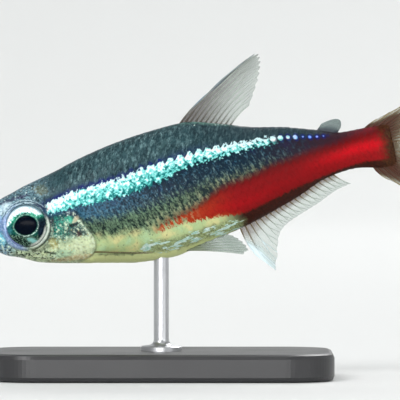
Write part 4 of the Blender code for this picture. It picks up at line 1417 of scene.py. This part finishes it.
def build_scales():
    tree, form, paint = scales_tree(), one_scale(), scale_material()
    made = []
    for side, word in SIDES:
        flank, alongs, top, foot = flank_chart(side)
        points, sizes, rows = scale_points(side, alongs, top, foot)
        coat = new_object(f"scales_{word}", points, [])
        set_vectors(coat.data, "size", sizes)
        set_vectors(coat.data, "row", rows, 0, 0)
        apply_tree(
            coat, tree, Scale=form, Flank=flank, Material=paint, Length=SCALE_LENGTH,
            Width=SCALE_WIDTH, Root_Sunk=0.006 * MM, Dome=0.011 * MM, Seed=3,
            Edge_Raised=bpy.context.scene.tetra_looks.scale_lift,
        )
        finish_scales(coat, side)
        bpy.data.objects.remove(flank)
        made.append(coat)
    bpy.data.objects.remove(form)
    return made


def finish_scales(coat, side):
    """Gives each scale its marking fields, partly its own place's and partly its middle's, and
    tucks roots that reach the gill cover under it."""
    mesh = coat.data
    world = vertex_points(mesh)
    points = unposed(world)
    along, height = side_view(points)
    own = get_vectors(mesh, "own")
    _, scale = np.unique(get_vectors(mesh, "root"), axis=0, return_inverse=True)
    scale = scale.ravel()
    weight = bell(own[:, 0], SCALE_HEART, 0.2) * bell(own[:, 1], 0, 0.2)
    sums = [np.bincount(scale, weight * part) for part in (*points.T, 1 + 0 * weight)]
    hearts = (np.array(sums[:3]) / sums[3]).T[scale]
    share = (0.15 + 0.30 * smooth_step(0.30, 0.50, along))[:, None]
    set_marking_fields(
        mesh, points * 0.85 + hearts * 0.15, points * (1 - share) + hearts * share
    )
    x, row, _ = get_vectors(mesh, "laid").T
    side_shift = SIDES_APART if side > 0 else 0.0
    set_vectors(mesh, "chart", x * UNIT, (row - 0.5) * CHART_HEIGHT, side_shift)
    behind, slit = scaled_distance(along, height), smooth_step(0.012, -0.006, height)
    tuck = 0.07 * MM * smooth_step(0.35, -0.25, behind)
    tuck += 0.20 * MM * smooth_step(0.20, 0.0, behind) * slit
    world = world - get_vectors(mesh, "up") * tuck[:, None]
    mesh.vertices.foreach_set("co", world.astype(np.float32).ravel())
    if side > 0:
        mesh.flip_normals()
    mesh.update()


def scale_material():
    # Emission Strength lets the stripe's painted glow give off a little light.
    made, p = new_material(
        "tetra_scales", Coat_Roughness=0.18, Coat_IOR=1.30, IOR=1.38, Specular_IOR_Level=0.12,
        Emission_Strength=0.05,
    )
    x, y, _ = p.parts(p.attribute("own"))
    pitch, step, chance = p.parts(p.attribute("size"))
    row, _, _ = p.parts(p.attribute("row"))
    turn = y.math("ARCTAN2", x + 0.30)
    fan = p.noise(p.vector(turn, chance * 30.0, x * 0.6), 6.5, 2.0, 0.6)
    bead = ((x - SCALE_HEART) * pitch * SCALE_LENGTH).hypot(y * step * SCALE_WIDTH)
    bent = x + y * y * 1.5
    crescent = bent.bump(0.32, 0.16) * (fan * 0.5 + 0.8)
    out = markings(p, Scale=p.vector(crescent, bead, chance), Row=row, Fan=fan)
    # Painted shade: each scale's free edge is darkened a little towards black, where the scales
    # overlap.
    rim = bent.ramp(0.43, 0.50) * 0.16 * (fan + 0.7).clamp()
    return wire_shader(
        made, (fan * 0.4 + out["Height"] * 0.3, 0.35, 0.02 * MM),
        Base_Color=p.mix(rim, out["Color"], BLACK), Emission_Color=out["Glow"],
        Metallic=out["Metallic"], Roughness=out["Roughness"],
        Coat_Weight=(fan * 0.1 + 0.12).clamp(),
    )


# Fins

WEB_STEPS = 6  # columns of membrane between two rays
WEB_ROWS, RAY_STEPS = 30, 26
WEB_THICKNESS = 0.05 * MM
WEB_NOTCH = 0.035  # how far the web's edge is drawn in between rays, of their length
RAY_END = 0.985
FORK_LEAN, FORK_GAP = 0.26, 0.010 * MM  # columns between a ray's forks and its middle, and mm
FORKED_FROM = 1.3 * MM  # shorter rays stay single
LEAD_RAYS, LEAD_THICKNESS = 2, 1.25  # rays at the front, as many times as thick as the others
FIN_SUNK = 0.55 * MM


def on_midline(u, v, offset):
    """Places a fin's plane upright along the fish's middle, following the sweep of its tail."""
    return stacked(u, offset + sweep(u), v)


def fan(count, ray, bow, short):
    """Rays of a fin as (root, tip, bow). short gives the first rays' lengths as shares."""
    made = []
    for i in range(count):
        root, length, degrees = ray(i / (count - 1))
        length *= short[i] if i < len(short) else 1.0
        angle = math.radians(degrees)
        made.append((root, root + np.array((math.cos(angle), math.sin(angle))) * length, bow))
    return made


def edge_root(along, edge):
    """A point on the back, edge 0, or on the belly, edge 1."""
    return np.array((along * STANDARD_LENGTH, float(station(along)[edge])))


def dorsal_rays():
    def ray(share):
        length = (7.3 - 5.4 * share**1.7) * MM
        return edge_root(0.531 + 0.119 * share, 0), length, 33 + 1.5 * share

    return fan(11, ray, 0.05, (0.5, 0.97))


def anal_rays():
    def ray(share):
        length = (1.35 + 3.3 * math.exp(-((share / 0.135) ** 1.6))) * MM
        degrees = -38 - 33 * math.exp(-((share / 0.22) ** 1.5))
        return edge_root(0.622 + 0.252 * share, 1), length, degrees

    return fan(20, ray, -0.05, (0.5, 0.97))


def caudal_rays(up):
    outer_turn, inner_turn = (28, -4) if up > 0 else (-49, -12)

    def ray(share):
        along = 0.978 + 0.022 * min(1.0, share / 0.25)
        height = 0.0030 + up * (0.0545 + (0.0060 - 0.0545) * share)
        main = max(0.0, (share - 0.2) / 0.8)
        length = (3.6 + 3.8 * (1 - main) ** 1.3) * MM
        degrees = inner_turn + (outer_turn - inner_turn) * (1 - share) ** 0.85
        return np.array((along, height)) * STANDARD_LENGTH, length, degrees

    bow, short = (0.02, (0.12, 0.30, 0.66)) if up > 0 else (-0.06, (0.16, 0.40, 0.74))
    return fan(12, ray, bow, short)


def pair_rays(count, root_width, longest, shortest, power, first, spread, lead):
    """Rays of a paired fin, in its own plane."""

    def ray(share):
        length = longest - (longest - shortest) * share**power
        return np.array((0.0, root_width * share)), length, first + spread * share

    return fan(count, ray, 0.02, (lead,))


def turned(vector, axis, degrees):
    """A vector turned about a unit axis."""
    vector, axis, angle = np.asarray(vector, float), np.asarray(axis, float), math.radians(degrees)
    across = np.cross(axis, vector) * math.sin(angle)
    return vector * math.cos(angle) + across + axis * np.dot(axis, vector) * (1 - math.cos(angle))


def paired_place(side, root, out_turn, down_turn, roll, cup):
    """Places a paired fin: u runs back from its root, v inward across its rays."""
    back = turned(turned((1, 0, 0), (0, 1, 0), down_turn), (0, 0, 1), side * out_turn)
    inward = np.array((0.0, -side, 0.0))
    inward = inward - back * np.dot(inward, back)
    inward = turned(inward / np.linalg.norm(inward), back, side * roll)
    normal = np.cross(back, inward) * side

    def place(u, v, offset):
        lift = offset + cup * v * v / (4 * MM)
        plane = back * np.asarray(u)[..., None] + inward * np.asarray(v)[..., None]
        return np.asarray(root) + plane + normal * np.asarray(lift)[..., None]

    return place


def flank_point(side, along, height):
    """A point on the flank at a share of the length and a height in metres."""
    back, belly, half, widest = (float(value) for value in station(along))
    reach = (back - widest) if height > widest else (widest - belly)
    power = float(fullness(along))
    share = min(1.0, abs(height - widest) / reach)
    x = along * STANDARD_LENGTH
    return np.array((x, side * half * (1 - share**power) ** (1 / power) + float(sweep(x)), height))


def ray_line(ray, shares):
    """Points of a ray's middle line in the fin's own plane."""
    root, tip, bow = ray
    axis = tip - root
    across = np.array((-axis[1], axis[0]))
    shares = np.asarray(shares)[:, None]
    return root + axis * shares + across * (bow * 4 * shares * (1 - shares))


def between(rays, column, shares):
    """The fin's plane at a column counted in rays, not always a whole number."""
    low = min(int(column), len(rays) - 2)
    share = column - low
    return ray_line(rays[low], shares) * (1 - share) + ray_line(rays[low + 1], shares) * share


def web_solid(name, rays, place):
    """The fin's thin skin, its edge drawn in a little between rays."""
    last = len(rays) - 1
    sheet, tags = [], []
    for column in np.linspace(0, last, last * WEB_STEPS + 1):
        low = min(int(column), last - 1)
        start = -FIN_SUNK / np.linalg.norm(rays[low][1] - rays[low][0])
        notch = WEB_NOTCH * (1 - math.cos(math.tau * column)) / 2
        run = np.linspace(start, 1 - notch, WEB_ROWS)
        sheet.append(between(rays, column, run))
        tags.append(stacked(run, column, last))
    tags = np.array(tags)
    half = WEB_THICKNESS / 2 * np.minimum(1.0, (1 - tags[..., 0]) / 0.15 + 0.25)
    return two_sided(name, np.array(sheet), place, half, tags)


def two_sided(name, sheet, place, half, tags):
    """A solid around a fin's plane, with its place in the fin stored on both sides."""
    front, back = (posed(place(sheet[..., 0], sheet[..., 1], s * half)) for s in (1, -1))
    made = closed_sheet(name, front, back)
    set_vectors(made.data, "fin", np.concatenate([tags.reshape(-1, 3)] * 2))
    return made


def rods_tree(name):
    """Turns lines into tapering rods."""
    p, wire, leave = new_group(
        "Geometry", name,
        {"Geometry": "Geometry", "Int": "Sides", "Float": "Thickness", "Material": "Material"},
        {"Geometry": "Geometry"},
    )
    thick = p.named("thickness", "FLOAT") * wire["Thickness"]
    curve = p.node("GeometryNodeMeshToCurve", {"Mesh": wire["Geometry"]})
    curve = p.node("GeometryNodeSetCurveRadius", {"Curve": curve, "Radius": thick})
    ring = {"Resolution": wire["Sides"], "Radius": 1.0}
    ring = p.node("GeometryNodeCurvePrimitiveCircle", ring)
    inputs = {"Curve": curve, "Profile Curve": ring, "Scale": thick, "Fill Caps": True}
    rods = p.node("GeometryNodeCurveToMesh", inputs)
    return finish_group(leave, Geometry=p.real_in(wire["Material"], rods))


def ray_rods(name, rays, place, root_radius, tip_radius, paint):
    """The fin's rays as tapering rods that fork towards the edge."""
    points, edges, radii, marks = [], [], [], []
    last = len(rays) - 1
    for i, (root, tip, _) in enumerate(rays):
        length = np.linalg.norm(tip - root)
        for lean in ((0.0,) if length < FORKED_FROM else (-FORK_LEAN, FORK_LEAN)):
            run = np.linspace(-FIN_SUNK / length, RAY_END, RAY_STEPS)
            column = np.clip(i + lean * smooth_step(0.45, 0.85, run), 0, last)
            line = np.array([between(rays, c, [r])[0] for c, r in zip(column, run)])
            shift = FORK_GAP * np.sign(lean) * (run < 0.5)
            size = root_radius + (tip_radius - root_radius) * np.clip(run, 0, 1) ** 0.7
            first = len(points) * RAY_STEPS
            edges += [(first + k, first + k + 1) for k in range(RAY_STEPS - 1)]
            points.append(place(line[:, 0], line[:, 1], shift))
            radii.append(size * (LEAD_THICKNESS if i < LEAD_RAYS else 1.0))
            marks.append(stacked(run, i, last))
    rods = new_object(name, posed(np.concatenate(points)), [], edges)
    thickness = rods.data.attributes.new("thickness", "FLOAT", "POINT")
    thickness.data.foreach_set("value", np.concatenate(radii).astype(np.float32))
    set_vectors(rods.data, "fin", np.concatenate(marks))
    tree = shared("taper_rods", rods_tree)
    apply_tree(rods, tree, Sides=6, Thickness=1.0, Material=paint)
    face_outward(rods)
    rods.data.shade_smooth()
    return rods


def build_fin(name, rays, place, web_paint, ray_paint, root_radius, tip_radius, *nodes):
    """A fin as a thin web and its finer, forking rays, in place of the solid fin of its name
    or of the nodes given."""
    web = web_solid(f"{name}_web", rays, place)
    web.data.materials.append(web_paint)
    rods = ray_rods(f"{name}_rays", rays, place, root_radius, tip_radius, ray_paint)
    for piece in (web, rods):
        dress(piece, "fin", *(nodes or (name,)))


def dress(piece, slot, *nodes):
    """Puts a finished piece in the frame."""
    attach(piece, "root")
    if nodes:
        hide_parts(*nodes)


def fin_group(name):
    """Tints a fin along its rays and from its first ray back, with fine streaks."""
    p, wire, leave = new_group(
        "Shader", name,
        {"Vector": "Fin", "Color": "Clear, Tint, Lead",
         "Float": "From Front, Tint From, Tint To, Clear Alpha, Tint Alpha, Lead Columns"},
        {"Color": "Color", "Float": "Alpha, Roughness, Height"},
    )
    run, column, last = p.parts(wire["Fin"])
    cloud = p.noise(p.vector(run * 5.0, column, last), 1.0, 3.0, 0.6)
    fine = p.noise(p.vector(run * 8.0, column * 3.0, last), 2.0, 2.0, 0.6)
    where = p.blend(wire["From Front"], run, column / last)
    amount = (where + cloud * 0.10).ramp(wire["Tint To"], wire["Tint From"])
    dark = p.mix(0.4, wire["Clear"], BLACK)
    lead = (column - wire["Lead Columns"]).ramp(0.8, -0.8) * run.ramp(0.25, 0.6)
    colour = p.over(
        p.mix(cloud * 0.3 + 0.4, wire["Clear"], dark),
        (amount, wire["Tint"]),
        (lead, wire["Lead"]),
    )
    alpha = p.blend(amount, wire["Clear Alpha"], wire["Tint Alpha"]) + fine * 0.05
    return finish_group(
        leave, Color=colour, Alpha=p.blend(lead.clamp(), alpha, 0.95).clamp(),
        Roughness=(fine * 0.08 + 0.32).clamp(), Height=fine,
    )


def fin_material(name, joints=0.0, **inputs):
    """Finish of a web, or of rays where joints is more than 0."""
    made, p = new_material(name, IOR=1.38)
    fin = p.attribute("fin")
    out = p.group(shared("fin_tint", fin_group), Fin=fin, **inputs)
    colour, height = out["Color"], out["Height"]
    if joints:
        run, _, _ = p.parts(fin)
        rings = (run * 190.0).math("SINE").ramp(0.55, 0.95) * run.ramp(0.15, 0.3)
        colour = p.mix(rings * joints, colour, (0.01, 0.01, 0.01))
        height = height - rings * 2.0
    return wire_shader(
        made, (height, 0.35, 0.02 * MM), Base_Color=colour, Alpha=out["Alpha"],
        Roughness=out["Roughness"],
    )


def fin_paints(name, web, ray):
    """Web and ray materials of one kind of fin, as clear colour, tint colour and lead colour,
    where the tint comes from, goes to and counts from the front, the two alphas and how many
    rays lead."""
    labels = ("Clear", "Tint", "Lead", "Tint_From", "Tint_To", "From_Front", "Clear_Alpha",
              "Tint_Alpha", "Lead_Columns")
    return (
        fin_material(f"{name}_web", **dict(zip(labels, web))),
        fin_material(f"{name}_rays", 0.35, **dict(zip(labels, ray))),
    )


def adipose_lobe(paint):
    """The small fleshy fin, a soft lobe with no rays."""
    high, last = 0.70 * MM, 8
    rays = []
    for share in np.linspace(0, 1, last + 1):
        level = math.sin(math.pi * min(1.0, 0.12 + 0.80 * share)) ** 0.7
        root = edge_root(0.856 + 0.049 * share, 0)
        rays.append((root, root + np.array((0.9 * MM * level**1.3, high * level)), 0.0))
    columns, shares = np.linspace(0, last, 41), np.linspace(-0.5, 1, 22)
    sheet = np.array([between(rays, column, shares) for column in columns])
    across = np.abs(columns / last * 2 - 1)
    half = 0.13 * MM * np.sqrt(np.clip(1 - across**3, 0.02, 1))[:, None]
    half = half * np.sqrt(np.clip(1 - np.clip(shares, 0, 1) ** 2.5, 0.01, 1))[None, :]
    tags = stacked(shares[None, :], columns[:, None], last)
    lobe = two_sided("adipose_lobe", sheet, on_midline, half, tags)
    lobe.data.materials.append(paint)
    dress(lobe, "fin", "adipose_fin")


def build_fins():
    clear, pale = ink(150, 172, 160), ink(206, 216, 208)
    white, silver = ink(222, 240, 246), ink(120, 142, 158)
    dorsal = fin_paints(
        "dorsal",
        (ink(134, 152, 142), ink(46, 34, 30), silver, 0.10, 0.80, 0.65, 0.26, 0.60, 0.4),
        (pale, ink(70, 62, 56), silver, 0.0, 0.7, 0.2, 0.75, 0.95, 1.0),
    )
    anal = fin_paints(
        "anal",
        (clear, ink(86, 58, 40), white, 0.0, 0.40, 0.0, 0.24, 0.50, 1.2),
        (pale, ink(112, 96, 72), white, 0.0, 0.7, 0.0, 0.7, 0.95, 2.6),
    )
    tail = fin_paints(
        "tail",
        (ink(132, 128, 92), ink(62, 36, 18), silver, 0.16, 0.60, 0.0, 0.36, 1.0, -2.0),
        (ink(164, 152, 120), ink(70, 34, 18), silver, 0.16, 0.70, 0.0, 0.8, 1.0, -2.0),
    )
    pair = fin_paints(
        "paired",
        (clear, ink(112, 126, 96), silver, 0.0, 0.60, 0.0, 0.24, 0.45, -2.0),
        (pale, ink(112, 122, 94), silver, 0.0, 0.75, 0.0, 0.7, 0.95, -2.0),
    )
    breast = fin_paints(
        "pectoral",
        (ink(176, 178, 132), ink(124, 120, 80), silver, 0.0, 0.60, 0.0, 0.12, 0.25, -2.0),
        (ink(156, 154, 108), ink(112, 104, 66), silver, 0.0, 0.75, 0.0, 0.5, 0.7, -2.0),
    )
    build_fin("dorsal_fin", dorsal_rays(), on_midline, *dorsal, 0.075 * MM, 0.020 * MM)
    build_fin("anal_fin", anal_rays(), on_midline, *anal, 0.065 * MM, 0.020 * MM)
    build_fin(
        "caudal_fin", caudal_rays(1) + caudal_rays(-1)[::-1], on_midline, *tail, 0.085 * MM,
        0.022 * MM, "caudal_fin_upper", "caudal_fin_lower",
    )
    for side, word in SIDES:
        shoulder, hip = flank_point(side, 0.268, -3.25 * MM), flank_point(side, 0.487, -4.45 * MM)
        rays = pair_rays(
            11, root_width=1.0 * MM, longest=5.2 * MM, shortest=1.9 * MM, power=1.2, first=-4,
            spread=30, lead=0.86,
        )
        place = paired_place(side, shoulder, out_turn=36, down_turn=9, roll=5, cup=0.12 * MM)
        build_fin(f"pectoral_fin_{word}", rays, place, *breast, 0.050 * MM, 0.014 * MM)
        rays = pair_rays(
            8, root_width=0.75 * MM, longest=4.5 * MM, shortest=2.3 * MM, power=1.5, first=-3,
            spread=24, lead=0.9,
        )
        place = paired_place(side, hip, out_turn=11, down_turn=13, roll=-58, cup=0.15 * MM)
        build_fin(f"pelvic_fin_{word}", rays, place, *pair, 0.060 * MM, 0.018 * MM)
    adipose_lobe(
        fin_material(
            "adipose", Clear=ink(96, 118, 116), Tint=ink(50, 58, 66), Tint_From=0.0,
            Tint_To=0.6, Clear_Alpha=0.62, Tint_Alpha=0.95, Lead_Columns=-2.0,
        )
    )


# Stand


def base_material():
    tone = tuple(bpy.context.scene.tetra_looks.base)
    made, p = new_material("stand_base_satin", IOR=1.5, Coat_Roughness=0.3)
    place = p.object_place()
    grain, broad = p.noise(place, 9000.0, 2.0, 0.6), p.noise(place, 260.0, 3.0, 0.5)
    return wire_shader(
        made, (grain, 0.15, 0.01 * MM),
        Base_Color=p.mix(broad * 0.3 + 0.5, tone, tuple(c * 1.5 + 0.002 for c in tone)),
        Roughness=(broad * 0.05 + grain * 0.03 + 0.38).clamp(),
    )


def turned_points(profile, around):
    """Points of a profile of (radius, height) turned round the upright axis."""
    turns = np.linspace(0, math.tau, around, endpoint=False)
    return [(r * math.cos(a), r * math.sin(a), z) for r, z in profile for a in turns]


def build_rod():
    """The rod on its turned foot, its top set a little way into the belly."""
    around, axis = 64, 1e-6
    floor, top = float(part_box("stand_base")[1][2]), BELLY_HEIGHT + 0.25 * MM
    profile = [(axis, floor), (ROD_FOOT, floor), (ROD_FOOT, floor + 0.28 * MM)]
    profile += [(ROD_FOOT - 0.1 * MM, floor + 0.36 * MM), (0.92 * MM, floor + 0.42 * MM)]
    profile += [
        (ROD_RADIUS + 0.37 * MM * (1 - math.sin(a)), floor + (0.85 - 0.43 * math.cos(a)) * MM)
        for a in np.linspace(0, math.pi / 2, 7)
    ]
    profile += [(ROD_RADIUS, top), (axis, top)]
    faces = [face[::-1] for face in grid_faces(len(profile), around, closed=True)]
    rod = new_object("turned_rod", turned_points(profile, around), faces)
    mesh = bmesh.new()
    mesh.from_mesh(rod.data)
    bmesh.ops.remove_doubles(mesh, verts=mesh.verts, dist=1e-5)
    bmesh.ops.recalc_face_normals(mesh, faces=mesh.faces)
    for edge in mesh.edges:
        edge.smooth = edge.calc_face_angle(0.0) < math.radians(35)
    mesh.to_mesh(rod.data)
    mesh.free()
    rod.data.materials.append(rod_material())
    dress(rod, "stand_rod", "stand_rod")


def rod_material():
    made, p = new_material("stand_rod_steel", Metallic=1.0, Anisotropic=0.3)
    lines = p.noise(p.object_place(), 4000.0, 3.0, 0.7, (0.05, 0.05, 3.0))
    return wire_shader(
        made, (lines, 0.10, 0.004 * MM),
        Base_Color=p.mix(lines * 0.2 + 0.5, ink(166, 167, 170), ink(196, 197, 200)),
        Roughness=(lines * 0.04 + 0.30).clamp(),
    )


# Stage

PHOTO_PIXEL = 0.072614 * MM  # at the fish
PHOTO_SNOUT = (-17.0, 229.5)  # pixel of the snout, which the photo cuts off
PHOTO_SIZE = 400
CAMERA_DISTANCE = 400 * MM
CAMERA_RISE = math.radians(1.0)
SENSOR = 36.0
SWEEP_RADIUS, SWEEP_BEND, SWEEP_HEIGHT = 0.9, 0.35, 1.1


def build_camera():
    snout = pose_origin()
    middle_x = snout[0] + (PHOTO_SIZE / 2 - PHOTO_SNOUT[0]) * PHOTO_PIXEL
    middle_z = snout[2] + (PHOTO_SNOUT[1] - PHOTO_SIZE / 2) * PHOTO_PIXEL
    data = bpy.data.cameras.new("camera")
    data.sensor_width = SENSOR
    data.lens = SENSOR * CAMERA_DISTANCE / (PHOTO_SIZE * PHOTO_PIXEL)
    data.clip_start, data.clip_end = 10 * MM, 20.0
    made = linked("camera", data)
    back, up = CAMERA_DISTANCE * math.cos(CAMERA_RISE), CAMERA_DISTANCE * math.sin(CAMERA_RISE)
    made.location = (middle_x, -back, middle_z + up)
    made.rotation_euler = (math.pi / 2 - CAMERA_RISE, 0, 0)
    bpy.context.scene.camera = made


def area_light(name, place, size, power, height=None):
    """A soft light that looks at the fish, round unless its height is given."""
    data = bpy.data.lights.new(name, "AREA")
    data.shape, data.size = "ELLIPSE", size
    data.size_y = height or size
    data.energy = power * bpy.context.scene.tetra_looks.light
    made = linked(name, data)
    made.location = place
    aim = Vector((0.002, 0.0, 0.012)) - Vector(place)
    made.rotation_euler = aim.to_track_quat("-Z", "Y").to_euler()


def build_sweep():
    """A pale floor that curves up all round into a wall."""
    around = 96
    turns = np.linspace(0, math.pi / 2, 16)
    radii = SWEEP_RADIUS - SWEEP_BEND + SWEEP_BEND * np.sin(turns)
    heights = SWEEP_BEND - SWEEP_BEND * np.cos(turns)
    profile = [*zip(radii, heights), (SWEEP_RADIUS, SWEEP_HEIGHT)]
    points = [(0.0, 0.0, 0.0), *turned_points(profile, around)]
    faces = [(0, 1 + i, 1 + (i + 1) % around) for i in range(around)]
    faces += [face[::-1] for face in grid_faces(len(profile), around, closed=True, start=1)]
    floor = new_object("floor", np.array(points) - (0, 0, 0.02 * MM), faces)
    made, _ = new_material("floor_paper", Roughness=0.9, Specular_IOR_Level=0.2)
    wire_shader(made, Base_Color=tuple(bpy.context.scene.tetra_looks.floor))
    floor.data.materials.append(made)


# Settings, operators and panel


def colour_setting(name, description, default):
    return bpy.props.FloatVectorProperty(
        name=name, description=description, subtype="COLOR", size=3, min=0, max=1,
        default=default,
    )


class TetraLooks(bpy.types.PropertyGroup):
    """Colours of the fish and its stage, and the few sizes that may be changed."""

    back: colour_setting("Back", "Olive slate of the back", ink(56, 82, 82))
    stripe: colour_setting("Stripe", "Turquoise of the bright stripe", ink(96, 192, 186))
    red: colour_setting("Red band", "Red of the rear half", ink(136, 10, 15))
    belly: colour_setting("Belly", "Silvery green of the belly", ink(176, 196, 142))
    base: colour_setting("Stand", "Colour of the stand's base", ink(34, 34, 36))
    floor: colour_setting("Floor", "Colour of floor and backdrop", ink(222, 223, 222))
    scale_lift: bpy.props.FloatProperty(
        name="Scale edge", description="How far a scale's free edge stands off the skin",
        default=0.020 * MM, min=0.0, max=0.1 * MM, unit="LENGTH", precision=6,
    )
    light: bpy.props.FloatProperty(
        name="Light", description="Strength of the studio lights, 1 as built", default=1.0,
        min=0.0, max=4.0,
    )


class TETRA_OT_skin(bpy.types.Operator):
    """Build the one skin over head, trunk, tail stalk and gill covers"""

    bl_idname = "tetra.skin"
    bl_label = "Skin"

    def execute(self, context):
        skin = build_skin()
        dress(skin, "skin", "head", "trunk", "tail_stalk", "gill_cover_left", "gill_cover_right")
        return {"FINISHED"}


class TETRA_OT_eyes(bpy.types.Operator):
    """Build both eyes with iris, pupil and a glossy cornea"""

    bl_idname = "tetra.eyes"
    bl_label = "Eyes"

    def execute(self, context):
        paint = eye_material()
        for side, word in SIDES:
            eye = eye_solid(
                f"eyeball_{word}", side, -0.005 * MM, around=96, rings=40, lens=0.06 * MM
            )
            eye.data.materials.append(paint)
            dress(eye, "eye", f"eye_{word}")
        return {"FINISHED"}


class TETRA_OT_scales(bpy.types.Operator):
    """Lay the scales in rows over both flanks"""

    bl_idname = "tetra.scales"
    bl_label = "Scales"

    def execute(self, context):
        for coat in build_scales():
            dress(coat, "skin")
        return {"FINISHED"}


class TETRA_OT_fins(bpy.types.Operator):
    """Build every fin as a thin web with forking rays"""

    bl_idname = "tetra.fins"
    bl_label = "Fins"

    def execute(self, context):
        build_fins()
        return {"FINISHED"}


class TETRA_OT_stand(bpy.types.Operator):
    """Finish the stand's base and make its rod"""

    bl_idname = "tetra.stand"
    bl_label = "Stand"

    def execute(self, context):
        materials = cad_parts["stand_base"].data.materials
        materials.clear()
        materials.append(base_material())
        build_rod()
        return {"FINISHED"}


class TETRA_OT_stage(bpy.types.Operator):
    """Set up floor, lights, world and camera"""

    bl_idname = "tetra.stage"
    bl_label = "Stage"

    def execute(self, context):
        build_sweep()
        area_light("top_light", (0.0, -0.05, 0.95), 1.2, 3.7)
        area_light("key_light", (-0.32, -0.52, 0.46), 0.30, 2.1)
        area_light("front_light", (-0.10, -0.60, 0.06), 0.5, 1.4, 0.11)
        area_light("fill_light", (0.50, -0.46, 0.16), 0.40, 0.8)
        area_light("rim_light", (0.22, 0.55, 0.48), 0.30, 2.0)
        world = bpy.data.worlds.new("studio")
        world.use_nodes = True
        background = world.node_tree.nodes["Background"]
        background.inputs["Color"].default_value = (0.92, 0.95, 1.0, 1.0)
        background.inputs["Strength"].default_value = 0.28
        context.scene.world = world
        context.scene.view_settings.view_transform = "Standard"
        build_camera()
        return {"FINISHED"}


class TETRA_PT_panel(bpy.types.Panel):
    """Settings and steps of the neon tetra"""

    bl_idname = "TETRA_PT_panel"
    bl_label = "Neon Tetra"
    bl_space_type = "VIEW_3D"
    bl_region_type = "UI"
    bl_category = "Neon Tetra"

    def draw(self, context):
        for name in TetraLooks.__annotations__:
            self.layout.prop(context.scene.tetra_looks, name)
        for step in STEPS:
            self.layout.operator(step.bl_idname)


STEPS = (
    TETRA_OT_skin,
    TETRA_OT_eyes,
    TETRA_OT_scales,
    TETRA_OT_fins,
    TETRA_OT_stand,
    TETRA_OT_stage,
)


def register():
    for item in (TetraLooks, *STEPS, TETRA_PT_panel):
        bpy.utils.register_class(item)
    bpy.types.Scene.tetra_looks = bpy.props.PointerProperty(type=TetraLooks)


def unregister():
    del bpy.types.Scene.tetra_looks
    for item in reversed((TetraLooks, *STEPS, TETRA_PT_panel)):
        bpy.utils.unregister_class(item)


def main():
    register()
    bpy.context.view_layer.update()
    bpy.ops.tetra.skin()
    bpy.ops.tetra.eyes()
    bpy.ops.tetra.scales()
    bpy.ops.tetra.fins()
    bpy.ops.tetra.stand()
    bpy.ops.tetra.stage()
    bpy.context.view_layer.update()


if __name__ == "__main__":
    main()
